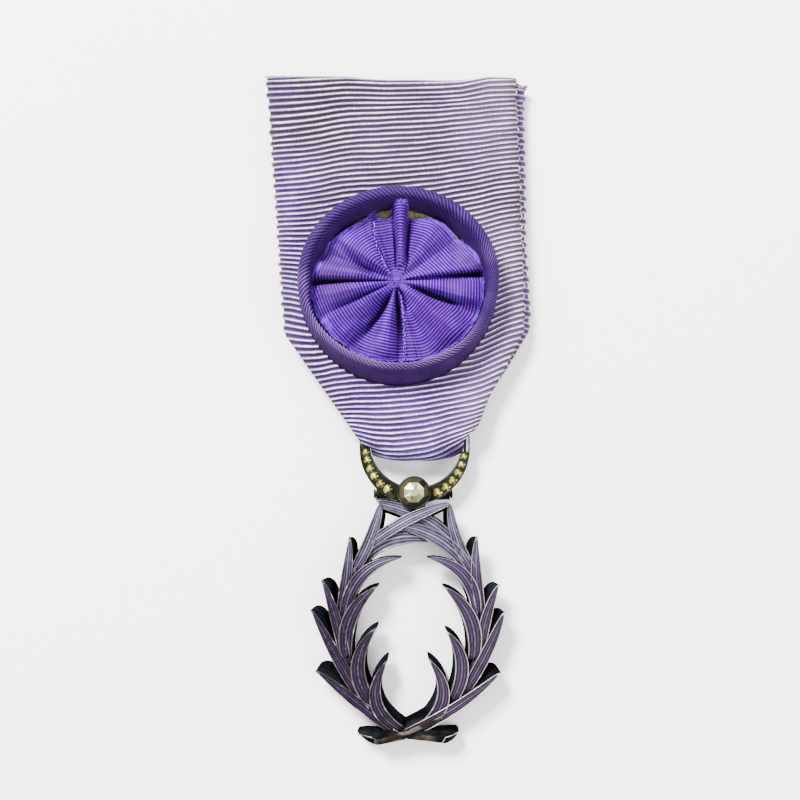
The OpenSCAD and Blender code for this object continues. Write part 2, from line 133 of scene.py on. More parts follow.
def make_mesh(name, points, faces, materials, body, attributes, kinds=None, smooth=True):
    """An object from points, faces, named numbers for the points and the material number of each face."""
    mesh = bpy.data.meshes.new(name)
    faces = [tuple(int(i) for i in f) for f in faces]
    mesh.from_pydata((np.asarray(points, float) * MM).tolist(), [], faces)
    for m in materials:
        mesh.materials.append(m)
    if kinds is not None:
        mesh.polygons.foreach_set("material_index", np.asarray(kinds, np.int32))
    for key, values in attributes.items():
        set_attribute(mesh, key, values)
    work = bmesh.new()
    work.from_mesh(mesh)
    bmesh.ops.recalc_face_normals(work, faces=work.faces)
    work.to_mesh(mesh)
    work.free()
    mesh.polygons.foreach_set("use_smooth", [smooth] * len(mesh.polygons))
    mesh.update()
    obj = add_object(name, mesh)
    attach(obj, body)
    return obj


def grid_faces(rows, columns, closed_rows=False, closed_columns=False):
    i = np.arange(rows if closed_rows else rows - 1)
    j = np.arange(columns if closed_columns else columns - 1)
    i, j = np.meshgrid(i, j, indexing="ij")
    next_i, next_j = (i + 1) % rows, (j + 1) % columns
    corners = [i * columns + j, next_i * columns + j, next_i * columns + next_j, i * columns + next_j]
    return np.stack(corners, axis=-1).reshape(-1, 4)


def skin_faces(rings, sides):
    """Faces over a row of rings, closed by one flat face at each end."""
    first = list(range(sides))
    last = [(rings - 1) * sides + k for k in reversed(first)]
    return grid_faces(rings, sides, closed_columns=True).tolist() + [first, last]


class Parts:
    """Gathers many small shapes into one mesh with the attribute tone."""

    END_BULGE = 0.6

    def __init__(self):
        self.points, self.faces, self.kinds, self.tones = [], [], [], []
        self.count = 0

    def add(self, points, faces, kind=0, tone=0.0):
        self.points.append(points)
        self.faces.extend([[int(corner) + self.count for corner in face] for face in faces])
        self.kinds.extend([kind] * len(faces))
        self.tones.append(np.broadcast_to(np.asarray(tone, float), (len(points),)))
        self.count += len(points)

    def tube(self, path, radius, sides=6, kind=0, tone=0.0):
        """A round tube with closed, rounded ends."""
        path = np.asarray(path, float)
        n = len(path)
        radius = np.broadcast_to(np.asarray(radius, float), (n,))
        tangent = unit(np.gradient(path, axis=0))
        upright = abs(tangent[:, 2]).mean() >= 0.8
        side = unit(np.cross(tangent, [1.0, 0.0, 0.0] if upright else [0.0, 0.0, 1.0]))
        top = np.cross(side, tangent)
        a = FULL_TURN * np.arange(sides) / sides
        ring = np.cos(a)[:, None] * side[:, None, :] + np.sin(a)[:, None] * top[:, None, :]
        points = (path[:, None, :] + radius[:, None, None] * ring).reshape(-1, 3)
        faces = grid_faces(n, sides, closed_columns=True).tolist()
        for k, outward in ((0, -1), (n - 1, 1)):
            hub = len(points)
            points = np.vstack([points, path[k] + outward * tangent[k] * radius[k] * self.END_BULGE])
            faces += [[k * sides + s, k * sides + (s + 1) % sides, hub] for s in range(sides)]
        self.add(points, faces, kind, tone)

    def build(self, name, materials, body, smooth=True):
        points, tones = np.concatenate(self.points), np.concatenate(self.tones)
        return make_mesh(name, points, self.faces, materials, body, {"tone": tones}, self.kinds, smooth)


# Materials

class Look:
    """A procedural material: each method adds nodes and gives their output."""

    def __init__(self, name, **constants):
        self.material = bpy.data.materials.new(name)
        self.material.use_nodes = True
        self.tree = self.material.node_tree
        self.shader = self.tree.nodes["Principled BSDF"]
        for key, value in constants.items():
            self.set(key.replace("_", " "), value)
        self.place = self.node("ShaderNodeTexCoord", "Object")
        self.normal = self.node("ShaderNodeTexCoord", "Normal")

    def link(self, value, socket):
        if isinstance(value, bpy.types.NodeSocket):
            self.tree.links.new(value, socket)
        else:
            socket.default_value = (*value, 1.0) if socket.type == "RGBA" else value

    def set(self, socket, value):
        self.link(value, self.shader.inputs[socket])

    def node(self, kind, output, inputs=(), **settings):
        """Adds a node with its settings and inputs, and gives one of its outputs."""
        node = self.tree.nodes.new(kind)
        for key, value in settings.items():
            setattr(node, key, value)
        for socket, value in dict(inputs).items():
            self.link(value, node.inputs[socket])
        return node.outputs[output]

    def attribute(self, name):
        return self.node("ShaderNodeAttribute", "Fac", attribute_name=name)

    def math(self, operation, a, b=0.0, c=0.0):
        return self.node("ShaderNodeMath", 0, {0: a, 1: b, 2: c}, operation=operation)

    def both(self, a, b):
        return self.math("MULTIPLY", a, b)

    def either(self, a, b):
        return self.math("MAXIMUM", a, b)

    def off(self, value, middle):
        return self.math("ABSOLUTE", self.math("SUBTRACT", value, middle))

    def scaled(self, value, factor, plus):
        return self.math("MULTIPLY_ADD", value, factor, plus)

    def uneven(self, value, noise, strength):
        """The value, moved up and down by a noise."""
        return self.math("ADD", value, self.both(self.math("SUBTRACT", noise, 0.5), strength))

    def stretched(self, x, y, z):
        return self.node("ShaderNodeMapping", 0, {"Vector": self.place, "Scale": (x, y, z)})

    def axis(self, name, source=None):
        return self.node("ShaderNodeSeparateXYZ", name, {0: source or self.place})

    def noise(self, scale, detail=2.0, vector=None):
        inputs = {"Vector": vector or self.place, "Scale": scale, "Detail": detail}
        return self.node("ShaderNodeTexNoise", "Fac", inputs)

    def span(self, value, low, high):
        """0 at low, 1 at high, smooth between."""
        ends = {"Value": value, "From Min": low, "From Max": high}
        return self.node("ShaderNodeMapRange", 0, ends, interpolation_type="SMOOTHSTEP")

    def zone(self, **fades):
        """A part of the object: along each named axis it goes from 0 to 1 between two places in mm."""
        spans = [self.span(self.axis(name.upper()), a * MM, b * MM) for name, (a, b) in fades.items()]
        return spans[0] if len(spans) == 1 else self.both(*spans)

    def patches(self, scale, detail=2.0, low=0.35, high=0.65, vector=None):
        return self.span(self.noise(scale, detail, vector), low, high)

    def ramp(self, factor, *stops):
        ramp = self.node("ShaderNodeValToRGB", 0, {0: factor})
        elements = ramp.node.color_ramp.elements
        while len(elements) < len(stops):
            elements.new(0.5)
        for element, (at, colour) in zip(elements, stops):
            element.position = at
            element.color = (*colour, 1.0)
        return ramp

    def mixed(self, factor, a, b):
        return self.node("ShaderNodeMix", 2, {0: factor, 6: a, 7: b}, data_type="RGBA")

    def layers(self, colour, *rows):
        """The colour with others laid over it, columns: where, how strongly, which colour."""
        for where, share, other in rows:
            colour = self.mixed(where if share == 1 else self.both(where, share), colour, other)
        return colour

    def distance(self, x, y):
        """Distance in the plane from the place (x, y), in metres."""
        across = self.math("SUBTRACT", self.axis("X"), x)
        along = self.math("SUBTRACT", self.axis("Y"), y)
        return self.math("SQRT", self.scaled(across, across, self.both(along, along)))

    def finished(self, colour, height, strength, depth=0.0001):
        """The material in this colour, with fine relief from the height."""
        self.set("Base Color", colour)
        inputs = {"Strength": strength, "Distance": depth, "Height": height}
        self.set("Normal", self.node("ShaderNodeBump", 0, inputs))
        return self.material


def ribbed_silk():
    """Pale crests over violet and brownish valleys, with painted shade at the bottom fold and at its two
    ends: the attribute rib is 1 on a crest and 0 in a valley.
    """
    look = Look("ribbed_silk", Roughness=0.7, Specular_IOR_Level=0.06)
    crest = look.uneven(look.attribute("rib"), look.noise(900, 3, look.stretched(0.25, 1, 1)), 0.36)
    crest = look.uneven(crest, look.noise(3400, 2, look.stretched(1, 0.22, 1)), 0.3)
    brown_side = look.either(look.zone(x=(-18.5, -8), y=(2, 22)), look.zone(y=(36, 42)))
    brown_side = look.both(brown_side, look.scaled(look.patches(70), 0.25, 0.75))
    faded = look.either(look.zone(x=(4, 16), y=(30, 46)), look.zone(x=(5, 13), y=(34, 24)))
    edge = look.span(look.attribute("edge"), 0.9, 1.0)
    # Painted shade: near the bottom, the two ends of the fold, where the cloth curves away under it, are made
    # dark.
    corners = look.either(look.zone(x=(-2.0, -4.2)), look.zone(x=(5, 9)))
    corners = look.math("POWER", look.both(corners, look.zone(y=(-4.0, -6.4))), 0.4)
    valley = look.layers(
        look.mixed(look.patches(160, 3), (0.02, 0.008, 0.052), (0.048, 0.026, 0.105)),
        (brown_side, 1, (0.026, 0.017, 0.03)),
        (faded, 0.65, (0.09, 0.068, 0.12)),
        (look.zone(x=(0, -12), y=(36, 46)), 0.8, (0.013, 0.008, 0.015)),
        (look.zone(x=(-4, -12), y=(16, 6)), 0.7, (0.008, 0.003, 0.02)),
        (edge, 0.5, (0.026, 0.016, 0.022)),
        (look.zone(z=(2.5, 2.0), y=(10.5, 12.5)), 1, (0.06, 0.034, 0.13)),
        # Painted shade: the valleys darken towards the bottom fold, where the ribbon turns under.
        (look.zone(y=(-5.2, -7.2)), 1, (0.014, 0.005, 0.036)),
        (corners, 1, (0.006, 0.003, 0.012)))
    light = look.layers(
        look.mixed(look.patches(420, 3, 0.4, 0.66), (0.86, 0.66, 1.0), (1.0, 0.88, 1.0)),
        (edge, 0.5, (0.46, 0.36, 0.32)),
        (corners, 0.97, (0.016, 0.008, 0.034)))
    middle = look.mixed(brown_side, (0.088, 0.058, 0.165), (0.062, 0.047, 0.074))
    stain = look.patches(300, 2, 0.4, 0.6, look.stretched(0.4, 1, 1))
    rolled = look.mixed(look.zone(x=(-13, -19)), (0.11, 0.085, 0.15), (0.06, 0.046, 0.042))
    colour = look.layers(
        valley,
        (look.span(crest, 0.3, 0.85), 1, look.layers(middle, (corners, 0.97, valley))),
        (look.math("POWER", look.either(crest, 0.0), 5.8), 1, light),
        # Painted shade: the whole colour darkens towards the bottom fold.
        (look.zone(y=(-5.2, -7.8)), 0.6, (0.04, 0.022, 0.105)),
        (look.both(look.patches(55, 2, 0.55, 0.75), stain), 0.4, (0.034, 0.018, 0.095)),
        (look.zone(y=(50.8, 51.3)), 0.7, rolled))
    return look.finished(colour, look.noise(5200, 2, look.stretched(1, 0.45, 1)), 0.35, 0.00012)


def violet_silk():
    """Bright crests over sunk valleys, with painted shade in the creases and between pleats: the attribute
    rib counts the ribs, edge is the share of the radius.
    """
    look = Look("violet_silk", Roughness=0.65, Specular_IOR_Level=0.05)
    phase = look.math("PINGPONG", look.math("FRACT", look.attribute("rib")), 0.5)
    crest = look.uneven(look.both(phase, 2.0), look.noise(1400), 0.35)
    patches, edge = look.patches(200, 2, 0.35, 0.68), look.attribute("edge")
    light = look.mixed(patches, (0.1, 0.007, 0.34), (0.165, 0.014, 0.62))
    colour = look.layers(
        look.mixed(patches, (0.016, 0.0022, 0.05), (0.026, 0.0036, 0.092)),
        (look.span(crest, 0.45, 1.0), 1, light),
        (look.patches(130, 2, 0.5, 0.68, look.stretched(1, 1, 0.2)), 0.3, (0.075, 0.04, 0.13)),
        (look.span(edge, 0.17, 0.11), 0.9, (0.058, 0.011, 0.165)),
        (look.span(edge, 0.955, 0.985), 0.75, (0.105, 0.02, 0.46)),
        # Painted shade in the creases and in the low parts between pleats.
        (look.span(look.attribute("painted_shade"), 0.1, 1.1), 1, (0.003, 0.0008, 0.007)))
    return look.finished(colour, look.noise(6000), 0.3)


def twill_silk():
    """Striped where the attribute rim is 1, nearly plain on the wall, and paler where the cloth is worn and
    along the rim's crest, where a highlight is painted.
    """
    look = Look("twill_silk", Roughness=0.65, Specular_IOR_Level=0.06)
    wear_and_highlight = look.attribute("wear_and_highlight")
    wall = look.mixed(look.patches(300), (0.015, 0.0035, 0.036), (0.021, 0.006, 0.05))
    valley = look.mixed(wear_and_highlight, (0.009, 0.002, 0.024), (0.02, 0.007, 0.042))
    light = look.mixed(wear_and_highlight, (0.032, 0.009, 0.092), (0.2, 0.1, 0.31))
    striped = look.mixed(look.span(look.attribute("rib"), 0.3, 1.0), valley, light)
    colour = look.mixed(look.scaled(look.attribute("rim"), 0.97, 0.03), wall, striped)
    return look.finished(colour, look.noise(5000), 0.3)


def thread(name, dark, light, side):
    """Thread in two tones, with painted shade in a third one on its sides, where they face sideways."""
    look = Look(name, Roughness=0.75, Specular_IOR_Level=0.08)
    # Painted shade: where the thread's surface faces sideways it takes the dark side colour, an outline of
    # shade.
    side_shade = look.span(look.math("ABSOLUTE", look.axis("X", look.normal)), 0.45, 0.85)
    colour = look.mixed(side_shade, look.mixed(look.patches(1500), dark, light), side)
    return look.finished(colour, look.noise(9000), 0.4)


def gold_card():
    look = Look("gold_card", Roughness=0.5, Metallic=0.2, Specular_IOR_Level=0.2)
    colour = look.mixed(look.patches(900, 3), (0.044, 0.037, 0.015), (0.15, 0.13, 0.045))
    return look.finished(colour, look.noise(3000, 3), 0.3)


def dark_silver():
    """Nearly black silver, with a painted bluish highlight on its inner edge round the crescent's hollow and
    a painted highlight line along its right leg.
    """
    look = Look("dark_silver", Metallic=0.75, Specular_IOR_Level=0.15)
    grime = look.noise(900, 4)
    tones = (0.3, (0.004, 0.005, 0.003)), (0.55, (0.012, 0.014, 0.008)), (0.75, (0.045, 0.048, 0.032))
    # Painted highlights: a bluish band round the crescent's hollow, and a narrow bright line down the middle
    # of the right leg.
    inner = look.span(look.distance(0.0027, -0.00448), 0.00735, 0.00712)
    leg_highlight = look.span(look.off(look.axis("X"), 0.01042), 0.00019, 0.00007)
    leg = look.mixed(leg_highlight, (0.018, 0.026, 0.028), (0.62, 0.64, 0.65))
    colour = look.layers(
        look.ramp(grime, *tones),
        (inner, 0.6, (0.04, 0.056, 0.062)),
        (look.zone(x=(9.6, 9.9), y=(-6.3, -5.8)), 1, leg))
    look.set("Roughness", look.scaled(grime, 0.3, 0.26))
    return look.finished(colour, look.noise(2600, 3), 0.35, 0.00012)


def worn_silver():
    look = Look("worn_silver", Metallic=0.9)
    grime = look.noise(1100, 4)
    look.set("Roughness", look.scaled(grime, 0.25, 0.2))
    colour = look.ramp(grime, (0.3, (0.06, 0.06, 0.05)), (0.6, (0.22, 0.22, 0.19)), (0.8, (0.5, 0.5, 0.46)))
    return look.finished(colour, look.noise(3200), 0.25)


def centre_stone():
    """Each facet its own tone as a painted reflection: pale green-white on top, bronze round the crown, and
    painted light that makes facets facing the lower right darker and those facing the upper left paler.
    """
    look = Look("pale_stone", Metallic=0.35, Roughness=0.3, Specular_IOR_Level=0.12)
    # Painted reflections: each facet gets its own tone from its direction; the loop below adds painted light
    # from the upper left.
    tone = look.noise(3.1, 0, look.normal)
    for name, light_lean in (("Y", 0.22), ("X", -0.22)):
        tone = look.scaled(look.axis(name, look.normal), light_lean, tone)
    top = look.ramp(tone, (0.3, (0.04, 0.044, 0.014)), (0.45, (0.1, 0.112, 0.045)),
                    (0.55, (0.2, 0.23, 0.125)), (0.68, (0.66, 0.7, 0.46)))
    crown = look.ramp(tone, (0.25, (0.005, 0.005, 0.002)), (0.48, (0.016, 0.0125, 0.005)),
                      (0.7, (0.04, 0.03, 0.012)))
    colour = look.mixed(look.span(look.axis("Z", look.normal), 0.87, 0.84), top, crown)
    return look.finished(colour, look.noise(1800), 0.06)


def gold_stone():
    look = Look("gold_stone", Metallic=0.6, Roughness=0.3, Specular_IOR_Level=0.1)
    # Painted reflections: each facet gets its own tone from its direction, shifted from stone to stone.
    facet_reflection = look.math("ADD", look.noise(3.3, 0, look.normal), look.scaled(look.noise(900, 1), 0.5, -0.29))
    tones = (0.32, (0.026, 0.022, 0.006)), (0.47, (0.11, 0.092, 0.018)), (0.66, (0.56, 0.5, 0.13))
    return look.finished(look.ramp(facet_reflection, *tones), look.noise(1800), 0.06)


def enamelled_silver():
    """The attribute tone: 0 is silver, 0.5 a ridge, 1 enamel, 2 a dark side, 3 the rubbed stem."""
    look = Look("enamelled_silver")
    tone, grime = look.attribute("tone"), look.noise(700, 4)
    grey, upper = look.span(grime, 0.3, 0.7), look.zone(y=(-25, -17.5))
    lit = look.both(look.zone(x=(-2, 9)), look.scaled(look.noise(240, 3), 0.9, 0.1))
    tones = (0.32, (0.04, 0.034, 0.032)), (0.54, (0.13, 0.12, 0.115)), (0.74, (0.66, 0.64, 0.63))
    silver = look.layers(
        look.ramp(grime, *tones),
        (look.patches(330, 2, 0.44, 0.6), 0.8, (0.085, 0.07, 0.052)),
        (lit, 0.55, (0.82, 0.78, 0.74)),
        (upper, 0.5, (0.2, 0.15, 0.13)))
    high = look.mixed(grey, (0.007, 0.0026, 0.0145), (0.019, 0.0085, 0.036))
    enamel = look.layers(
        look.mixed(grey, (0.0026, 0.0006, 0.005), (0.0078, 0.0026, 0.0115)),
        (look.zone(y=(-34, -14)), 1, high),
        (lit, 0.45, (0.024, 0.014, 0.036)),
        (upper, 0.8, look.mixed(grey, (0.01, 0.007, 0.018), (0.048, 0.04, 0.074))))
    dull = look.patches(2600, 3, 0.4, 0.6, look.stretched(1, 0.6, 1))
    pale_ridge = look.either(look.both(lit, 0.25), look.both(look.zone(y=(-29, -18)), 0.75))
    ridge = look.mixed(dull, (0.012, 0.006, 0.018), (0.046, 0.034, 0.058))
    ridge = look.mixed(pale_ridge, ridge, (0.19, 0.175, 0.25))
    rubbed = look.patches(800, 3, 0.45, 0.62, look.stretched(0.4, 1, 1))
    rubbed = look.mixed(rubbed, (0.01, 0.007, 0.006), (0.066, 0.054, 0.044))
    beside = look.span(look.off(look.axis("X"), 0.0019), 0.0042, 0.002)
    dark = look.layers(
        look.mixed(look.patches(260, 2, 0.4, 0.62), (0.002, 0.0022, 0.003), (0.006, 0.009, 0.012)),
        (look.span(grime, 0.5, 0.75), 1, (0.01, 0.008, 0.006)),
        (look.both(beside, look.zone(y=(-47.9, -48.5))), 1, rubbed))
    colour = look.layers(
        silver,
        (look.span(tone, 0.1, 0.45), 1, ridge),
        (look.span(tone, 0.6, 0.95), 1, enamel),
        (look.span(tone, 1.2, 1.6), 1, dark),
        (look.span(tone, 2.2, 2.8), 1, rubbed))
    look.set("Metallic", look.scaled(look.span(tone, 0.1, 0.8), -0.95, 0.95))
    look.set("Roughness", look.scaled(look.span(tone, 0.9, 1.6), 0.4, 0.36))
    look.set("Specular IOR Level", look.scaled(look.span(tone, 0.5, 1.5), -0.2, 0.2))
    return look.finished(colour, look.math("ADD", look.noise(3000, 3), look.both(grime, 0.6)), 0.3)


RIBBED, VIOLET, TWILL = ribbed_silk(), violet_silk(), twill_silk()
# The last colour of each thread is the painted shade on its sides.
CREAM_THREAD = thread("cream_thread", (0.1, 0.078, 0.065), (0.42, 0.35, 0.29), (0.04, 0.026, 0.022))
VIOLET_THREAD = thread("violet_thread", (0.045, 0.006, 0.2), (0.11, 0.018, 0.46), (0.04, 0.006, 0.17))
PALE_THREAD = thread("pale_thread", (0.1, 0.025, 0.33), (0.22, 0.085, 0.58), (0.08, 0.02, 0.28))
DARK_SILVER, WORN_SILVER, ENAMEL = dark_silver(), worn_silver(), enamelled_silver()
STONE, GOLD_STONE = centre_stone(), gold_stone()


# The ribbon: a flat loop, ribbed on its outer side

RIB = 0.831
TOP_Y, FOLD_TURN_Y, TAPER_Y = 50.2, -5.95, 4.6
FRONT_Z, FOLD_Z, BACK_Z, BAR_Z = 3.3, 3.85, 1.75, 2.8
TURN_R, TOP_TURN_R = 1.05, 0.775
HALF_WIDTH = 19.0
FOLD_LEFT, FOLD_RIGHT = -3.9, 9.8
# Edges of the front layer, columns: y, x
LEFT_EDGE = [[-5.3, -4.6], [-5.1, -5.25], [-4.9, -5.42], [11.8, -17.2], [46, -19.7], [51, -20.2]]
RIGHT_EDGE = [[-4.4, 9.8], [-4.05, 10.15], [-3.6, 10.6], [-2.5, 11.9], [2, 13.6], [6.9, 16.3],
              [12, 18.9], [15, 19.2], [50.4, 18]]
# How far the back layer lies to the right of the front one, columns: y, x
BACK_SHIFT = [[2, 0], [14, 1.04], [26, 0.672], [39, 1.12], [47, 1.2], [51, 1.84]]
# How much higher the fold is at its ends than in the middle, and from which share of the way down
RISE_LEFT, RISE_RIGHT, RISE_START = 0.9, 1.45, 0.86
# How far the top fold sags, columns: x, drop
TOP_DIP = [[-20.5, 0.05], [-14, 0.1], [-7.6, 0.2], [-2, 0.55], [3.5, 0.65], [7, 0.75], [9.5, 0.75],
           [11.5, 0.5], [13.5, 0.2], [17.7, 0.35], [20, 0.5]]
# How steeply the ribs climb to the right, in degrees, columns: x, slope
RIB_SLOPE = [[-20, 4], [-16.5, 5], [-13.5, 8], [-10.6, 12.5], [-7.4, 5.5], [-4.4, 2], [0, 4.8],
             [4.8, 8.5], [7.8, 11.5], [10.8, 9.5], [13.8, 15.5], [16.8, 9], [19, 5]]
OUTER_SIDE, INNER_SIDE, RIB_H, CRUMPLE_H = 0.42, -0.08, 0.17, 0.05
WEAVE, FINE_WEAVE, RAGGED = 0.055, 0.03, 0.04
PER_RIB, COLUMNS = 6, 44
# From this y up, the left and the right edge are the woven selvedge
WOVEN_FROM = (11.2, 12.4)

FRONT_L = TOP_Y - FOLD_TURN_Y
TURN_L = math.pi * TURN_R
TOP_TURN_L = math.pi * TOP_TURN_R
# The ribs stand outside the centre line, so the turns have a longer run outside than along it
RIB_SIDE = 0.5
TURN_RUN, TOP_TURN_RUN = TURN_L + math.pi * RIB_SIDE, TOP_TURN_L + math.pi * RIB_SIDE
OUTER_RUN = np.cumsum([0, FRONT_L, TURN_RUN, FRONT_L, TOP_TURN_RUN])
CENTRE_RUN = np.cumsum([0, FRONT_L, TURN_L, FRONT_L, TOP_TURN_L])
LOOP_L = OUTER_RUN[-1]
RIBS = 2 * round(LOOP_L / RIB / 2)
PITCH = LOOP_L / RIBS
RISE_X = np.linspace(-21, 20, 165)
RISE = np.cumsum(np.tan(np.radians(lookup(RISE_X, RIB_SLOPE)))) * (RISE_X[1] - RISE_X[0])
RISE = RISE - np.interp(0, RISE_X, RISE)


def loop(length):
    """Centre line of the folded ribbon: y, z, outward y and z, share of the way down and of the back."""
    w = np.interp(np.mod(length, LOOP_L), OUTER_RUN, CENTRE_RUN)
    fold_w, back_w, top_w = CENTRE_RUN[1:4]
    turn = np.clip((w - fold_w) / TURN_L, 0, 1)
    top = np.clip((w - top_w) / TOP_TURN_L, 0, 1)
    a, b = np.radians(90 + 180 * turn), np.radians(270 + 180 * top)

    def pick(front, bottom_fold, back, top_fold):
        return np.select([w < fold_w, w < back_w, w < top_w], [front, bottom_fold, back], top_fold)

    flat_y = TOP_Y - w
    front_z = mix(FRONT_Z, FOLD_Z, smooth01((TAPER_Y - flat_y) / (TAPER_Y - FOLD_TURN_Y)))
    top_z = BACK_Z + TOP_TURN_R + TOP_TURN_R * np.sin(b)
    fold_y, top_y = FOLD_TURN_Y + TURN_R * np.cos(a), TOP_Y + TOP_TURN_R * np.cos(b)
    y = pick(flat_y, fold_y, FOLD_TURN_Y + (w - back_w), top_y)
    z = pick(front_z, BAR_Z + TURN_R * np.sin(a), BACK_Z, top_z)
    ny, nz = pick(0.0, np.cos(a), 0.0, np.cos(b)), pick(1.0, np.sin(a), -1.0, np.sin(b))
    down = pick(w / FRONT_L, 1.0, 1 - (w - back_w) / FRONT_L, 0.0)
    back = pick(0.0, turn, 1.0, 1 - smooth01(top / 0.45))
    return y, z, ny, nz, down, back


def rib_rise(x, y):
    """How much higher a rib lies at x than at the middle of the ribbon, on the front layer."""
    rise = np.interp(x, RISE_X, RISE)
    left = smooth01((-8 - x) / 9.0) * (-8 - x) * 0.20 * bell(y, 16.5, 9.0, 2)
    right = smooth01((x - 9) / 8.0) * (x - 9) * 0.13 * smooth01((34 - y) / 18)
    narrow = np.clip((3.0 - y) / 8.0, 0, 1)
    droop = smooth01((-2 - x) / 5.0) * 0.55 * narrow
    climb = smooth01((x - 3) / 6.0) * 0.35 * narrow
    calmer = np.where(x < 0, 0.5 * smooth01((y - 41) / 9.0), 0.6 * smooth01((y - 28) / 22.0))
    return rise * (1 - calmer) + left + right + droop + climb


def selvedge(u, y):
    """1 where the ribbon's edge is its woven selvedge, 0 where it is folded back on the slanted sides."""
    return smooth01(y - np.where(u < 0.5, *WOVEN_FROM))


def ribbon_surface(q, u, offset):
    """Points of the ribbon where rib q crosses the share u of its width, offset in the outward direction."""
    guess_x = mix(-HALF_WIDTH, HALF_WIDTH, u)
    place = q * PITCH
    edge = np.abs(2 * u - 1)
    calm = smooth01(place / 2.0) * smooth01((LOOP_L - place) / 2.0)
    weave = WEAVE * noise2(guess_x, q, 3.4, 2.6, SEED) + FINE_WEAVE * noise2(guess_x, q, 1.1, 1.1, SEED + 1)
    length = place
    for _ in range(4):
        y, z, ny, nz, down, back = loop(length)
        sag_share = smooth01((down - RISE_START) / (1 - RISE_START))
        sag = sag_share * np.where(u < 0.5, RISE_LEFT, RISE_RIGHT) * edge ** 3
        into_fold = smooth01((down - 0.994) / 0.006) * (back > 0)
        fold = np.where(down < 1, into_fold, smooth01((back - 0.02) / 0.18))
        sides = []
        for rise, table, fold_x in ((RISE_LEFT, LEFT_EDGE, FOLD_LEFT), (RISE_RIGHT, RIGHT_EDGE, FOLD_RIGHT)):
            level = y + sag_share * rise
            sides.append(mix(lookup(level, table) + back * lookup(level, BACK_SHIFT), fold_x, fold))
        x = mix(sides[0], sides[1], u)
        front_rise, top_rise, fold_rise = (rib_rise(x, level) for level in (y + sag, 50.0, -5.0))
        back_rise = mix(fold_rise, top_rise, np.clip(1 - down, 0, 1))
        length = place - mix(front_rise, back_rise, back) + weave * calm
    y = y + sag - lookup(x, TOP_DIP) * smooth01(1 - down / 0.1)
    # The edge swings in and out once for every two ribs, where it is woven
    scallop = mix(-0.03, -0.2 - 0.1 * np.cos(math.pi * q), selvedge(u, y)) + RAGGED * noise1(q, 1.3, SEED + 2)
    x = x + np.sign(u - 0.5) * scallop * smooth01((edge - 0.93) / 0.07)
    return np.stack([x, y + offset * ny, z + offset * nz], axis=-1)


q_rows = np.arange(RIBS * PER_RIB) / PER_RIB
evenly = np.linspace(-1, 1, COLUMNS)
u_columns = 0.5 + 0.5 * (0.7 * evenly + 0.3 * np.sin(evenly * math.pi / 2))
Q, U = np.meshgrid(q_rows, u_columns, indexing="ij")
crumple = CRUMPLE_H * noise2(U * 2 * HALF_WIDTH, Q * PITCH, 6.0, 5.0, SEED + 3)
crumple *= smooth01(Q / 4.0) * smooth01((RIBS - Q) / 4.0)
ribbon_edge = np.abs(2 * U - 1)
relief = RIB_H * np.cos(FULL_TURN * (Q - 0.5)) * mix(0.5, 1, smooth01((1 - ribbon_edge) / 0.02))
outer = ribbon_surface(Q, U, OUTER_SIDE + relief + crumple)
inner = ribbon_surface(Q, U, INNER_SIDE + 0 * Q)
rows = len(q_rows)
skin = grid_faces(rows, COLUMNS, closed_rows=True)
inside = rows * COLUMNS
points = [outer.reshape(-1, 3), inner.reshape(-1, 3)]
faces = [skin, skin[:, ::-1] + inside]
# Each edge is closed over a line half way between the two sides
this_row = np.arange(rows)
next_row = (this_row + 1) % rows
for column, bulge in ((0, -0.16), (COLUMNS - 1, 0.16)):
    base = sum(len(part) for part in points)
    points.append((outer[:, column] + inner[:, column]) / 2 + [bulge, 0, 0])
    a, b = this_row * COLUMNS + column, next_row * COLUMNS + column
    faces.append(np.stack([a, b, base + next_row, base + this_row], axis=-1))
    faces.append(np.stack([base + this_row, base + next_row, inside + b, inside + a], axis=-1))
rib_value = 1 - np.abs(2 * np.mod(np.concatenate([Q.ravel(), Q.ravel(), q_rows, q_rows]), 1) - 1)
edge_value = np.concatenate([ribbon_edge.ravel(), ribbon_edge.ravel(), np.ones(2 * rows)])
ribbon = make_mesh("ribbon_cloth", np.concatenate(points), np.concatenate(faces), [RIBBED], ROOT,
                   {"rib": rib_value, "edge": edge_value})
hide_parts("ribbon")

# Rounded loops of weft that join the ribs in pairs along both edges
LOOP_R, LOOP_SIDE = 0.12, 0.44
rng = np.random.default_rng(SEED + 4)
loops = Parts()
half_turn = np.linspace(0, math.pi, 7)
swing = np.concatenate([[0], np.sin(half_turn), [0]])
for side in (0, 1):
    for pair in range(RIBS // 2):
        first, last = 2 * pair + 0.5, 2 * pair + 1.5
        q_path = np.concatenate([[first], (first + last) / 2 - np.cos(half_turn) * 0.5, [last]])
        reach = 0.005 + 0.005 * rng.uniform()
        u_path = np.concatenate([[0.022], 0.006 - np.sin(half_turn) * reach, [0.022]])
        u_path = u_path if side == 0 else 1 - u_path
        path = ribbon_surface(q_path, np.clip(u_path, 0, 1), LOOP_SIDE + 0 * q_path)
        if selvedge(u_path[4], path[4, 1]) < 0.6:
            continue
        path[:, 0] += (-1 if side == 0 else 1) * swing * (0.12 + 0.16 * rng.uniform())
        path[:, 2] -= swing * 0.12 * np.sign(path[:, 2] - 2.3)
        loops.tube(path, LOOP_R * rng.uniform(0.8, 1.15))
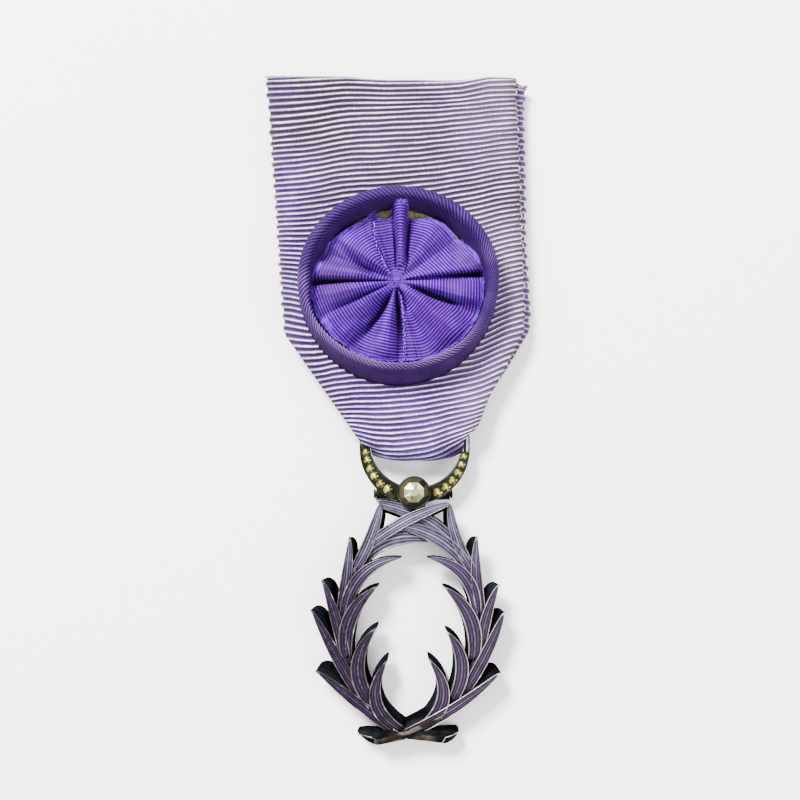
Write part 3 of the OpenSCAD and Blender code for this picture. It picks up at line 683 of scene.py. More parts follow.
# A frayed knot at the back layer's upper corner
KNOT, KNOT_R = np.array([19.62, 49.85, 2.2]), 0.26
for _ in range(9):
    t = np.linspace(0, 1, 7)
    a, b = rng.uniform(0, FULL_TURN), rng.uniform(2, 5)
    curl = np.stack([np.cos(a + b * t), np.sin(a + b * t), 0.5 * np.sin(a * 2 + b * t)], axis=-1)
    loops.tube(KNOT + KNOT_R * curl * (0.4 + 0.6 * t)[:, None], 0.08, 5)
loops.tube(KNOT + np.linspace(0, 1, 6)[:, None] * np.array([-1.1, -0.1, 0.1]), LOOP_R)
edge_loops = loops.build("ribbon_edge_loops", [CREAM_THREAD], ROOT)


# The rosette's collar: twill folded over a leaning ring

ROSETTE_Y, ROSETTE_Z = 18.8, 3.85
FOOT_R, RIM_RX, RIM_RY, COLLAR_H = 15.05, 15.0, 13.6, 4.7
RIM_SHIFT = (0.07, 0.86)
CLOTH_T = 0.35
# Outer wall, rolled rim and inner wall, columns: height as a share of the collar's, inset from the wall
COLLAR_OUT = [[0, 0], [0.2, 0], [0.4, 0.0], [0.6, 0.0], [0.74, 0.01], [0.82, 0.04], [0.885, 0.13],
              [0.935, 0.29], [0.97, 0.52], [0.99, 0.77], [1.0, 1.0], [0.992, 1.22], [0.968, 1.44],
              [0.925, 1.62], [0.86, 1.74], [0.78, 1.78], [0.62, 1.8], [0.42, 1.82], [0.24, 1.84],
              [0.03, 1.86]]
# How finely that outline is cut, columns: its first and last row, points between them
COLLAR_CUTS = [[0, 5, 5], [5, 8, 14], [8, 14, 35], [14, 16, 8], [16, -1, 6]]
RIM_START, RIM_CREST, RIM_END = 5, 10, 14
COLLAR_STEPS, UNDER_STEP = 1240, 4
TWILL_RIBS = 138
WALL_RELIEF, RIM_RELIEF, BULGE_H = 0.01, 0.045, 0.05


def low_rim(a):
    """How far the rolled rim reaches inwards: it is narrower along the bottom."""
    return mix(1.0, 0.42, smooth01((-np.sin(a + 0.12) - 0.15) / 0.55))


def collar_point(h, inset, a):
    lining = np.clip((inset - 1.3) / 0.5, 0, 1) * np.clip(1 - h / 0.9, 0, 1)
    inset = np.where(inset > 0.5, 0.5 + (inset - 0.5) * low_rim(a), inset)
    inset = inset + lining * mix(0.1, 1.75, smooth01((np.sin(a) + 0.25) / 0.9))
    x = RIM_SHIFT[0] * h + (mix(FOOT_R, RIM_RX, h) - inset) * np.cos(a)
    y = ROSETTE_Y + RIM_SHIFT[1] * h + (mix(FOOT_R, RIM_RY, h) - inset) * np.sin(a)
    return np.stack([x, y, ROSETTE_Z + COLLAR_H * h + 0 * a], axis=-1)


profile_h, profile_inset = np.transpose(COLLAR_OUT)
steps = np.hypot(np.diff(profile_h * COLLAR_H), np.diff(profile_inset))
run = np.concatenate([[0], np.cumsum(steps)])
fine = [np.linspace(run[first], run[last], count)[:-1] for first, last, count in COLLAR_CUTS]
fine = np.concatenate(fine + [run[-1:]])
h_fine, inset_fine = np.interp(fine, run, profile_h), np.interp(fine, run, profile_inset)
A, S = np.meshgrid(FULL_TURN * np.arange(COLLAR_STEPS) / COLLAR_STEPS, fine, indexing="ij")
past_crest = S - run[RIM_CREST]
seam = smooth01(A / 0.2) * smooth01((FULL_TURN - A) / 0.2)
# The twill lies flatter to the rim everywhere but at the top
across_rim = mix(2.5, 1.2, smooth01((np.cos(A - 2.1) + 0.3) / 0.6)) * mix(1, low_rim(A), past_crest > 0)
twill = A * TWILL_RIBS / FULL_TURN + past_crest * across_rim + 0.14 * seam * noise1(A * 30, 1.0, SEED + 5)
twill = 0.5 - 0.5 * np.cos(FULL_TURN * twill)
on_rim = smooth01((S - run[RIM_START]) / 0.5) * (1 - smooth01((S - run[RIM_END] - 0.25) / 0.7))
bulge = BULGE_H * noise2(A * 14, S, 2.2, 3.0, SEED + 6)
height = mix(WALL_RELIEF, RIM_RELIEF, on_rim) * (2 * twill - 1) + bulge * (0.3 + on_rim)
base = collar_point(h_fine, inset_fine, A)
out_r, out_z = np.gradient(h_fine, fine) * COLLAR_H, np.gradient(inset_fine, fine)
outward = np.stack([out_r * np.cos(A), out_r * np.sin(A), out_z + 0 * A], axis=-1)
outward /= np.hypot(out_r, out_z)[:, None]
# The cloth is paler where it is worn, over the rim, and where a highlight is painted, mostly along the crest
# at the bottom
wear_and_highlight = on_rim * (0.22 + 0.3 * noise2(np.cos(A) * 20 + 40, np.sin(A) * 20 + 40, 5, 5, SEED + 7))
wear_and_highlight = wear_and_highlight + bell(past_crest, 0, 0.75, 2) * (0.55 * smooth01(-np.sin(A + 0.25) - 0.1))
wear_and_highlight = np.clip(wear_and_highlight - 0.36 * smooth01(np.sin(A - 0.3)) - 0.2 * smooth01(np.cos(A)), 0, 1)
# The underside of the cloth follows the outside with fewer columns, and shares its first and last rings
under_columns = np.arange(len(fine) - 2, 0, -UNDER_STEP)
ring_columns = len(fine) + len(under_columns)
under = (base - CLOTH_T * outward)[:, under_columns]
points = np.concatenate([base + height[..., None] * outward, under], axis=1).reshape(-1, 3)
plain = np.zeros((COLLAR_STEPS, len(under_columns)))
values = {"rib": twill, "wear_and_highlight": wear_and_highlight, "rim": on_rim}
values = {key: np.concatenate([outside, plain], axis=1) for key, outside in values.items()}
faces = grid_faces(COLLAR_STEPS, ring_columns, closed_rows=True, closed_columns=True)
collar = make_mesh("rosette_collar", points, faces, [TWILL], ROOT, values)
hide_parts("rosette_ring")


# The rosette's gathered disc

DISC = (-0.27, 19.45)
DISC_Z, PLEAT_H = 4.35, 3.3
DISC_RIB, DISC_RELIEF = 0.446, 0.045
DISC_ANGLES, DISC_RINGS, UNDER_RINGS = 640, 138, 10
DISC_SCALE = 6.73
# Outline of the disc, columns: angle, radius in the units of DISC_SCALE to a millimetre
DISC_EDGE = [[0, 89], [8, 89], [14, 91], [19, 91], [25, 82], [34, 75], [43, 75], [52, 75], [60, 72],
             [70, 67], [79.6, 65.5], [81, 78], [85, 80], [93, 79], [94.8, 64], [103, 64.5], [107, 68],
             [109, 73], [112, 72], [118, 70], [126, 70.5], [140, 74], [150, 78], [160, 79], [165, 84],
             [172, 88], [180, 87], [190, 87], [202, 88], [215, 86.5], [235, 84], [255, 84], [262, 82],
             [278, 82], [300, 87], [320, 89], [335, 90], [350, 90], [360, 89]]
# Pleats, columns: angle, height of the cloth there as a share of the highest
PLEATS = [[2, 0.5], [5.5, 0.9], [10, 1.0], [17, 0.9], [25, 0.66], [33, 0.62], [44, 0.9], [52, 0.96],
          [59, 0.86], [66, 0.6], [73, 0.3], [78, 0.28], [82, 0.4], [95, 0.4], [100, 0.3], [108, 0.36],
          [114, 0.55], [120, 0.48], [128, 0.76], [138, 1.0], [144, 0.96], [151, 0.66], [158, 0.3],
          [163, 0.46], [168, 0.95], [172, 1.0], [177, 0.88], [180, 0.5], [183, 0.6], [187, 0.96],
          [193, 0.95], [200, 0.72], [206, 0.42], [208.5, 0.8], [210.5, 1.0], [218, 0.95], [227, 0.74],
          [236, 0.4], [243, 0.18], [248, 0.4], [253, 0.86], [258, 1.0], [263, 0.9], [268, 0.52],
          [274, 0.12], [280, 0.4], [285, 0.6], [289, 0.34], [295, 0.3], [302, 0.55], [311, 0.84],
          [318, 1.0], [322, 0.92], [330, 0.66], [337, 0.3], [341, 0.5], [345, 0.92], [350, 1.0],
          [355, 0.94], [358, 0.86]]
# Radial shape, columns: share of the radius, share of the height
DISC_PROFILE = [[0, 0.4], [0.05, 0.42], [0.12, 0.55], [0.25, 0.78], [0.42, 0.95], [0.6, 1.0],
                [0.75, 0.94], [0.87, 0.78], [0.95, 0.58], [1, 0.42]]
# Directions that the ribs of each petal stand across; the deep crease parts the first petal from the last
PETALS = [42, 72, 88, 105, 132, 158, 202, 225, 250, 272, 315, 358]
PETAL_BEND, PARTING = 34, 4.6
# Creases, as points from the middle out, columns: radius, angle, depth, half width
CREASES = [
    [(1.5, 6, 0.5, 0.12), (5, 5.2, 0.8, 0.14), (8, 4.8, 1.3, 0.22), (10.5, 4.6, 1.7, 0.34),
     (12.3, 4.6, 1.5, 0.4)],
    [(2.5, 341, 0.5, 0.15), (4.5, 338.6, 1.5, 0.32), (6.5, 338.6, 1.8, 0.45), (8.5, 339, 1.5, 0.32),
     (9.8, 339.2, 0.5, 0.25), (11, 339.4, 0.0, 0.2)],
    [(1.5, 180, 0.4, 0.12), (5, 181, 0.7, 0.13), (7, 181, 1.2, 0.2), (9.5, 181, 1.7, 0.36),
     (12.5, 181, 1.8, 0.45)],
    [(1.2, 252, 0.5, 0.15), (3.0, 249, 1.2, 0.25), (5.2, 244.5, 1.6, 0.35), (7.5, 240, 1.3, 0.45),
     (9.5, 238, 0.6, 0.6), (12, 237, 0.2, 0.8)],
    [(1.0, 274, 0.7, 0.25), (2.5, 274, 1.7, 0.34), (5.0, 274.5, 1.6, 0.4), (7.5, 274.5, 1.1, 0.5),
     (10, 274, 0.6, 0.6), (12, 273, 0.3, 0.6)],
    [(1.0, 285, 0.5, 0.15), (2.2, 292, 1.6, 0.3), (3.4, 292, 1.0, 0.25), (5, 286, 0.2, 0.2)],
    [(1.5, 122, 0.5, 0.16), (3.5, 121, 0.7, 0.2), (6.0, 118, 0.6, 0.22), (8.5, 114, 0.4, 0.22),
     (10.5, 109, 0.3, 0.2)],
    [(2.0, 46, 0.5, 0.14), (4.5, 69, 0.9, 0.2), (7, 75.5, 0.8, 0.2), (10, 78.5, 0.6, 0.2)],
    [(2.0, 92, 0.5, 0.14), (4.5, 91, 0.8, 0.2), (7, 92, 0.7, 0.2), (10, 93.5, 0.6, 0.25)],
    [(2.0, 60, 0.1, 0.4), (4.5, 62, 0.35, 0.5), (7, 63, 0.3, 0.6), (10, 64, 0.15, 0.6)],
    [(2.0, 172, 0.3, 0.2), (4.0, 164, 0.6, 0.35), (6.5, 155, 0.55, 0.5), (9.0, 150, 0.45, 0.55),
     (11.5, 147, 0.2, 0.6)],
    [(1.5, 208, 0.3, 0.12), (4, 207, 0.45, 0.15), (8, 207, 0.4, 0.2), (12, 207.5, 0.3, 0.25)],
]
# The tube at the top, columns: radius, half width; and how far right of the middle it runs
TUBE_HALF = [[0, 0.7], [5, 0.74], [8, 0.85], [10, 1.0], [11.8, 1.4]]
TUBE_X = 0.72
# Where the cloth's own edge turns up, columns: angle, half width in degrees, share of the radius
TURNED_UP = [[170, 5.0, 0.085], [212, 5.0, 0.06], [40, 26.0, 0.02], [16, 4.0, 0.07]]


def disc_edge(degrees):
    d = np.mod(degrees, 360)
    ragged = 0.09 * noise1(d, 1.7, SEED + 8) + 0.04 * noise1(d, 0.7, SEED + 9)
    return lookup(d, DISC_EDGE) / DISC_SCALE + ragged


def petal_rib(d, r):
    """Distance from the middle, measured square to the ribs of the nearest petals."""
    total = 0
    for petal in PETALS:
        near = np.exp(PETAL_BEND * (np.cos(np.radians(d - petal)) - 1))
        if petal == PETALS[0]:
            near = near * ((d > PARTING) & (d < 90))
        if petal == PETALS[-1]:
            near = near * ((d < PARTING) | (d > 290))
        total = total + near
    return r * (1 + np.log(total) / PETAL_BEND)


def disc_height(degrees, r):
    """Height above the card, the painted shade from 0 to 1 by how far down in a crease or a pleat's valley
    the point is, and its share of the radius.
    """
    d = np.mod(degrees, 360)
    angles, folds = np.transpose(PLEATS)
    fold = sum(np.interp(d + s, angles, folds, period=360) for s in (-0.8, 0.0, 0.8)) / 3
    share = r / disc_edge(degrees)
    shape = lookup(share, DISC_PROFILE)
    height = PLEAT_H * shape * mix(0.85, fold, smooth01(share / 0.3))
    # The pleat at the top stands up as a tube that widens to its end
    narrow = (r * np.cos(np.radians(d)) - TUBE_X) / lookup(r, TUBE_HALF)
    puff = bell(narrow, 0, 1, 6) * smooth01((r * np.sin(np.radians(d)) - 1.2) / 1.2)
    tube_top = 0.55 + 0.43 * smooth01((r - 1.0) / 3.0) - 0.32 * np.clip(narrow, -1.2, 1.2) ** 2
    height = height * (1 - puff) + puff * PLEAT_H * tube_top
    painted_shade = np.zeros(np.shape(height))
    for line in CREASES:
        reach, centre, depth, width = np.transpose(line)
        off = np.radians(d - np.interp(r, reach, centre))
        depth = np.interp(r, reach, depth, left=0)
        cut = np.exp(-np.abs(r * np.sin(off) / np.interp(r, reach, width)) ** 3) * (np.cos(off) > 0)
        height = height - depth * cut
        painted_shade = np.maximum(painted_shade, cut * np.clip(depth / 1.35, 0, 1))
    # Painted shade also fills the low parts between pleats, away from the middle and the rim.
    shade = np.clip(1.0 - height / (PLEAT_H * shape), 0, 1)
    shade = shade * smooth01((r - 1.0) / 2.0) * (1 - smooth01((share - 0.75) / 0.25))
    painted_shade = np.maximum(painted_shade, 0.5 * shade * (1 - puff))
    return np.maximum(height, 0.12), painted_shade, share


theta = 360 * np.arange(DISC_ANGLES) / DISC_ANGLES
ring_share = np.concatenate([[0.015], np.linspace(0.03, 1, DISC_RINGS - 1)])
T, G = np.meshgrid(theta, ring_share, indexing="ij")
RR = G * disc_edge(T)
height, painted_shade, share = disc_height(T, RR)
rib = petal_rib(T, RR) / DISC_RIB + 0.25 * noise2(T * 0.1 + 40, RR + 40, 1.3, 1.6, SEED + 10)
# Where the edge turns up, its pale selvedge shows
to_edge = share + sum(reach * bell(T, centre, width, 4) for centre, width, reach in TURNED_UP)
rib_fade = smooth01((RR - 1.4) / 1.0) * (1 - smooth01((to_edge - 0.955) / 0.03))
height = height + DISC_RELIEF * np.cos(FULL_TURN * (rib - 0.5)) * rib_fade
height = height + 0.04 * noise2(T * 0.2, RR, 2.5, 2.0, SEED + 11)
top = arc(DISC, RR, T, DISC_Z + height)
under = top[:, DISC_RINGS - 1::-UNDER_RINGS].copy()
under[..., 2] = np.maximum(under[..., 2] - CLOTH_T, DISC_Z + 0.02)
hubs = np.array([[*DISC, DISC_Z + height[:, 0].mean()], [*DISC, DISC_Z + 0.3]])
ring_columns = DISC_RINGS + under.shape[1]
points = np.concatenate([np.concatenate([top, under], axis=1).reshape(-1, 3), hubs])
faces = grid_faces(DISC_ANGLES, ring_columns, closed_rows=True).tolist()
hub = DISC_ANGLES * ring_columns
for i in range(DISC_ANGLES):
    this_ray, next_ray = i * ring_columns, (i + 1) % DISC_ANGLES * ring_columns
    faces.append([hub, this_ray, next_ray])
    faces.append([hub + 1, next_ray + ring_columns - 1, this_ray + ring_columns - 1])


def disc_attribute(values, fill):
    """The values of the upper side, and one value for the underside and the two hubs."""
    values = np.concatenate([values, np.full(under.shape[:2], fill)], axis=1)
    return np.concatenate([values.ravel(), [fill, fill]])


values = {"rib": (rib, 0.0), "painted_shade": (painted_shade, 0.3), "edge": (to_edge, 0.5)}
values = {key: disc_attribute(*pair) for key, pair in values.items()}
disc = make_mesh("rosette_disc", points, faces, [VIOLET], ROOT, values)
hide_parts("rosette_pleats")


def on_disc(degrees, r, above):
    return arc(DISC, r, degrees, DISC_Z + disc_height(degrees, r)[0] + above)


# Frayed edge of the disc, columns: from and to angle, number of threads, their length
FRAY = [[0, 30, 40, 0.4], [30, 80, 50, 0.22], [81, 93, 60, 0.7], [95, 106, 14, 0.4], [106, 113, 34, 0.9],
        [113, 160, 40, 0.25], [160, 206, 90, 0.45], [206, 250, 50, 0.3], [250, 360, 80, 0.2]]
THREADS = [VIOLET_THREAD, PALE_THREAD]
FRAY_R, CORD_R, KNOT_THREAD_R = 0.045, 0.11, 0.08
rng = np.random.default_rng(SEED + 12)
fray = Parts()
t = np.linspace(0, 1, 5)
for low, high, count, long in FRAY:
    for _ in range(count):
        a = rng.uniform(low, high)
        r = float(disc_edge(a)) - rng.uniform(0.1, 0.5)
        reach, turn = long * rng.uniform(0.4, 1.2), rng.uniform(-6, 6)
        path = on_disc(a + turn * t * t, np.minimum(r + reach * t, float(disc_edge(a)) + 0.25), 0.05)
        path[:, 2] = path[0, 2] + 0.12 * np.sin(math.pi * t) - 0.25 * t * t
        fray.tube(path, FRAY_R * (1 - 0.5 * t), 4, 0 if rng.uniform() < 0.75 else 1)
# The woven edge itself, a fine cord laid round the disc
edge_angle = np.linspace(-1, 359, 720)
path = on_disc(edge_angle, disc_edge(edge_angle) - 0.12, 0.05)
path[:, 2] += 0.05 * noise1(edge_angle, 1.2, SEED + 13)
fray.tube(path, CORD_R)
disc_fray = fray.build("rosette_frayed_edge", THREADS, ROOT)

stitches = Parts()


def stitch_row(line, gap, length, radius, above, kind):
    """Stitches along a line of points (radius, angle)."""
    reach, angles = np.transpose(line)
    r, k = reach[0], 0
    while r < reach[-1] - length:
        s = np.linspace(r, r + length, 5)
        path = on_disc(np.interp(s, reach, angles) + 0.6 * (-1) ** k, s, above)
        path[:, 2] = path[:, 2].max() + 0.02 * np.sin(np.linspace(0, math.pi, 5))
        stitches.tube(path, radius * np.sin(np.linspace(0.35, math.pi - 0.35, 5)), 6, kind)
        r += length + gap
        k += 1


# Rows of stitches, columns: line, gap, length, radius, height above the cloth, which thread
STITCH_ROWS = [
    ([(2.4, 128), (4.4, 121.5), (6.2, 118.5), (8.0, 114.5), (9.6, 110)], 0.1, 0.46, 0.125, 0.1, 1),
    ([(1.2, 133), (2.6, 124.5), (4.4, 118.5)], 0.05, 0.4, 0.16, 0.12, 0),
    ([(1.2, 282), (2.4, 287), (4.2, 283.5), (6.5, 280.5), (9, 278), (12, 276.5)], 0.06, 0.42, 0.17, 0.22, 0),
    ([(2.6, 286.5), (4.2, 281.5), (7, 279.2), (12, 275.6)], 0.16, 0.4, 0.115, 0.34, 1)]
for stitch in STITCH_ROWS:
    stitch_row(*stitch)
# The gathered middle of the disc, a small knot of threads
for _ in range(30):
    a, reach = rng.uniform(0, 360), rng.uniform(0.3, 0.8)
    path = on_disc(a + 60 * t * rng.uniform(-1, 1), np.maximum(reach * t, 0.05), 0.12)
    path[:, 2] = path[:, 2].max() + 0.15 * rng.uniform() * np.sin(math.pi * t)
    stitches.tube(path, KNOT_THREAD_R * (1 - 0.4 * t), 5)
disc_stitches = stitches.build("rosette_stitches", THREADS, ROOT)


# The wreath: leaves with silver rims round sunk enamel, stems and slant-cut ends

DOME = np.array([1.8, -19.3])
WREATH_Z, WREATH_TOP_T, DOME_R, BACK_DRAW, WREATH_FOOT_Y = 4.85, 2.25, 250.0, 0.04, -48.2
# Leaves, columns: base, middle and tip of the spine (x, y), width, lift, reach of the back's lobe, taper
LEAVES = [
    [0.1, -48.3, -6.1, -43.5, -12.3, -38.8, 1.75, 0.1, -0.95, 0.7],
    [-4.9, -43.8, -8.9, -37.1, -13.0, -29.7, 1.85, 0.06, -0.8, 0.7],
    [-7.6, -38.3, -9.1, -31.7, -11.4, -25.3, 1.8, 0.02, -0.75, 0.7],
    [-8.8, -31.1, -7.7, -25.0, -7.3, -18.9, 1.75, -0.02, -0.45, 0.7],
    [-6.4, -23.7, -4.05, -18.9, -2.6, -13.9, 1.8, 0.06, 0.0, 0.42],
    [0.8, -47.9, -3.3, -43.3, -1.6, -37.1, 2.0, 0.22, 0.1, 0.7],
    [-3.3, -44.4, -6.0, -38.3, -3.2, -32.3, 2.3, 0.18, 0.12, 0.7],
    [-7.6, -36.9, -7.1, -30.9, -3.1, -26.2, 2.35, 0.14, 0.12, 0.7],
    [-8.1, -31.1, -5.5, -24.7, 0.4, -21.9, 2.0, 0.1, 0.0, 0.7],
    [-5.5, -22.4, -1.1, -19.2, 5.2, -19.2, 2.6, -0.08, 0.0, 0.35],
    [-4.4, -20.2, 1.1, -16.5, 7.6, -13.9, 1.75, 0.2, 0.0, 0.36],
    [-0.1, -48.7, 8.0, -44.5, 15.3, -39.0, 1.75, 0.3, 0.9, 0.7],
    [9.4, -42.9, 13.2, -36.1, 15.9, -30.1, 1.85, 0.06, 0.85, 0.7],
    [12.2, -36.7, 13.1, -31.2, 15.1, -26.0, 1.75, 0.02, 0.55, 0.7],
    [12.6, -30.6, 11.7, -24.7, 11.9, -18.8, 1.8, -0.02, 0.6, 0.7],
    [11.3, -24.2, 8.8, -19.3, 7.7, -14.0, 1.7, 0.06, 0.0, 0.4],
    [2.8, -47.9, 6.7, -42.9, 4.6, -37.0, 2.1, 0.22, -0.1, 0.7],
    [8.1, -43.2, 9.5, -37.8, 7.3, -32.9, 2.1, 0.18, -0.12, 0.7],
    [11.2, -37.2, 10.8, -31.1, 6.9, -26.3, 2.3, 0.14, -0.12, 0.7],
    [11.7, -30.3, 9.8, -24.6, 4.5, -21.9, 2.0, 0.1, 0.0, 0.7],
    [10.1, -22.9, 6.1, -19.2, 1.0, -17.35, 2.2, 0.14, 0.0, 0.3],
    [10.2, -22.3, 4.9, -16.9, -2.9, -13.9, 2.1, -0.15, 0.0, 0.22]]
# Stems, columns: x, y
STEMS = [
    [[2.4, -48.5], [0.9, -48.2], [-1.2, -47.4], [-3.6, -45.4], [-4.9, -43.3], [-6.5, -40.4], [-7.6, -38],
     [-8.4, -35.1], [-8.7, -32.4], [-8.5, -29.5], [-7.8, -26.6], [-6.8, -24.2], [-5.4, -21.8], [-4.4, -20.4]],
    [[-0.8, -48.8], [0.9, -48.4], [4.1, -46.9], [7.3, -44.5], [9.4, -42], [11, -39], [12.1, -35.9],
     [12.8, -32.9], [12.6, -30], [12.1, -27.4], [11.3, -24.7], [10.2, -22.5], [8.9, -20.9]]]
STEM_STEPS, STEM_SMOOTH, STEM_DEPTH = 90, 7, 0.3
# Section of a stem, columns: place across, depth under its highest line (none: on the back), tone
STEM_SECTION = [(-0.55, None, 2.0), (-0.55, 0.42, 1.4), (-0.38, 0.2, 0.9), (0.0, 0.1, 0.6),
                (0.38, 0.2, 0.9), (0.55, 0.42, 1.4), (0.55, None, 2.0)]
# Corners of the slant-cut stem ends, columns: x, y, z
STUBS = [
    [[1.2, -47.4, 4.1], [-2.5, -48.2, 4.1], [-4.8, -48.2, 3.7], [-5.9, -48.1, 3], [-3.7, -48.7, 3.8],
     [-2.8, -49.5, 3.2], [1.2, -48.9, 3.6], [-5.3, -49.1, 1.2], [-4.3, -49.8, 1.4], [-3.5, -50.1, 1.6],
     [-2.9, -50.1, 1.8], [-6.2, -48.3, 0.6], [-6.1, -48, 0], [-5.8, -47.6, 0], [-4.7, -47.5, 0],
     [1.2, -48.1, 0], [1.2, -49.3, 0], [-4.8, -49.3, 0]],
    [[1.2, -47.4, 4.1], [5.6, -48.1, 4.1], [7.6, -48.1, 3.8], [9, -47.8, 3], [7, -48.6, 3.9],
     [6.6, -49.5, 3.2], [1.2, -48.8, 3.6], [8.8, -48.8, 1.4], [8.1, -49.5, 1.4], [7.2, -49.9, 1.6],
     [9.2, -48.3, 0.6], [9.2, -47.8, 0], [8.9, -47.4, 0], [7.7, -47.4, 0], [1.2, -47.9, 0],
     [1.2, -49.2, 0], [8.2, -49.3, 0]]]
STUB_BEVEL = 0.16
DARK_TONE, STUB_TONE, RUBBED_TONE = 2.0, 1.9, 3.0
# Dark side walls that show beside a leaf, by its number in LEAVES: width on its left and on its right
WALLS = {4: (0.0, 0.4), 9: (0.4, 0.0), 10: (0.0, 0.35), 15: (0.35, 0.0), 21: (0.35, 0.35)}
# Half section of a leaf from the middle out, columns: share of the half width, height in mm, tone
LEAF_SECTION = [(0.0, -0.07, 0.5), (0.05, -0.085, 0.62), (0.13, -0.14, 1.0), (0.3, -0.15, 1.0),
                (0.38, -0.12, 0.88), (0.43, -0.1, 0.7), (0.48, -0.12, 0.9), (0.57, -0.16, 1.0),
                (0.72, -0.17, 1.0), (0.79, -0.08, 0.8), (0.83, 0.04, 0.1), (0.89, 0.07, 0.0),
                (0.95, 0.03, 0.05), (0.985, -0.06, 0.4), (1.0, -0.2, 1.3), (1.0, -0.42, 1.9)]
LEAF_STEPS = 34
LIFT_SPREAD, BASE_SINK, LOBE_LENGTH, THINNEST = 1.9, 0.45, 1.5, 0.2
BACK_LIFT, BACK_CURL, SIDE_DROP, TIP_AHEAD = 0.3, 0.35, 0.5, 0.12


def dome_front(p):
    return WREATH_Z - ((p - DOME) ** 2).sum(-1) / (2 * DOME_R)


def flat_back(p):
    return (WREATH_Z - WREATH_TOP_T) * np.clip((p[..., 1] - WREATH_FOOT_Y) / (DOME[1] - WREATH_FOOT_Y), 0, 1)


def drawn_in(p):
    return p - BACK_DRAW * (p - DOME)


def leaf(parts, row, walls):
    t = 1 - (1 - np.linspace(0, 1, LEAF_STEPS)) ** 1.7
    base, middle, tip = np.array(row[:6]).reshape(3, 2)
    width, lift, lobe_reach, taper = row[6:]

    def spine(s):
        s = s[:, None]
        return (1 - s) * (1 - 2 * s) * base + 4 * s * (1 - s) * middle + s * (2 * s - 1) * tip

    def half_width(power):
        return np.maximum(THINNEST, width * np.abs(np.sin(np.pi * mix(0.2, 1, t))) ** power) / 2

    centre = spine(t)
    along = unit(spine(np.minimum(1, t + 0.01)) - spine(np.maximum(0, t - 0.01)))
    across = np.stack([-along[:, 1], along[:, 0]], axis=-1)
    # A leaf with a lobe at its back is fuller on that side
    lobe_side = 1.0 if lobe_reach > 0 else -1.0
    lobed = abs(lobe_reach) > 0.3
    lobe_half, other_half = (half_width(taper * (k if lobed else 1)) for k in (0.62, 1.35))
    scale = np.clip(half_width(taper) / 0.8, 0.3, 1.0)
    section = [(-s, h, tone) for s, h, tone in reversed(LEAF_SECTION)] + LEAF_SECTION[1:]
    ring, tones = [], []
    for s, h, tone in section:
        half = lobe_half if s * lobe_side > 0 else other_half
        p = centre + across * (half * s)[:, None]
        drop = BASE_SINK * (1 - t) ** 5
        z = dome_front(p) + LIFT_SPREAD * lift + h * (scale if abs(s) < 0.995 else 1.0) - drop
        ring.append(np.concatenate([p, z[:, None]], axis=1))
        bright_tip = tone < 1.2 and lobe_reach != 0
        tones.append(mix(tone, 0.0, smooth01((t - 0.94) / 0.04)) if bright_tip else np.full(LEAF_STEPS, tone))
    away = (1 - t) * (np.linalg.norm(tip - middle) + np.linalg.norm(middle - base))
    lobe = np.sqrt(np.clip(1 - (1 - np.clip(away / LOBE_LENGTH, 0, 1)) ** 2, 0, 1))
    lobe = (0.06 + abs(lobe_reach) * lobe) * (1 - smooth01((away - 1.4) / 3.4))
    ahead = (0.0 if lobed else TIP_AHEAD) * smooth01((t - 0.8) / 0.2)
    for s, wall in zip((1.0, -1.0), walls):
        wide = (lobe_half if s == lobe_side else other_half) + wall
        wide = wide + lobe if s == lobe_side and lobe_reach else wide
        p = centre + across * (wide * s)[:, None] + along * ahead[:, None]
        z = mix(flat_back(p) + BACK_LIFT - lift, dome_front(p), BACK_CURL * t ** 6)
        z = np.minimum(z, dome_front(p) + lift - SIDE_DROP)
        ring.append(np.concatenate([drawn_in(p), z[:, None]], axis=1))
        tones.append(np.full(LEAF_STEPS, DARK_TONE))
    points = np.stack(ring, axis=1).reshape(-1, 3)
    parts.add(points, skin_faces(LEAF_STEPS, len(ring)), tone=np.stack(tones, axis=1).ravel())


def stem(parts, route):
    route = np.array(route, float)
    marks = np.concatenate([[0], np.cumsum(np.linalg.norm(np.diff(route, axis=0), axis=1))])
    p = follow(route, marks, np.linspace(0, marks[-1], STEM_STEPS))
    kernel = np.ones(STEM_SMOOTH) / STEM_SMOOTH
    margin = STEM_SMOOTH // 2
    for k in (0, 1):
        p[margin:-margin, k] = np.convolve(p[:, k], kernel, "valid")
    tangent = unit(np.gradient(p, axis=0))
    across = np.stack([-tangent[:, 1], tangent[:, 0]], axis=-1)
    ring = []
    for off, below, _ in STEM_SECTION:
        a = p + across * off
        z = flat_back(a) if below is None else dome_front(a) - STEM_DEPTH - below
        a = drawn_in(a) if below is None else a
        ring.append(np.concatenate([a, z[:, None]], axis=1))
    tones = np.tile([tone for _, _, tone in STEM_SECTION], STEM_STEPS)
    parts.add(np.stack(ring, axis=1).reshape(-1, 3), skin_faces(STEM_STEPS, len(ring)), tone=tones)


palms = Parts()
for i, row in enumerate(LEAVES):
    leaf(palms, row, WALLS.get(i, (0.0, 0.0)))
for route in STEMS:
    stem(palms, route)
leaves = palms.build("palm_leaves", [ENAMEL], PALMS)
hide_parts("wreath")


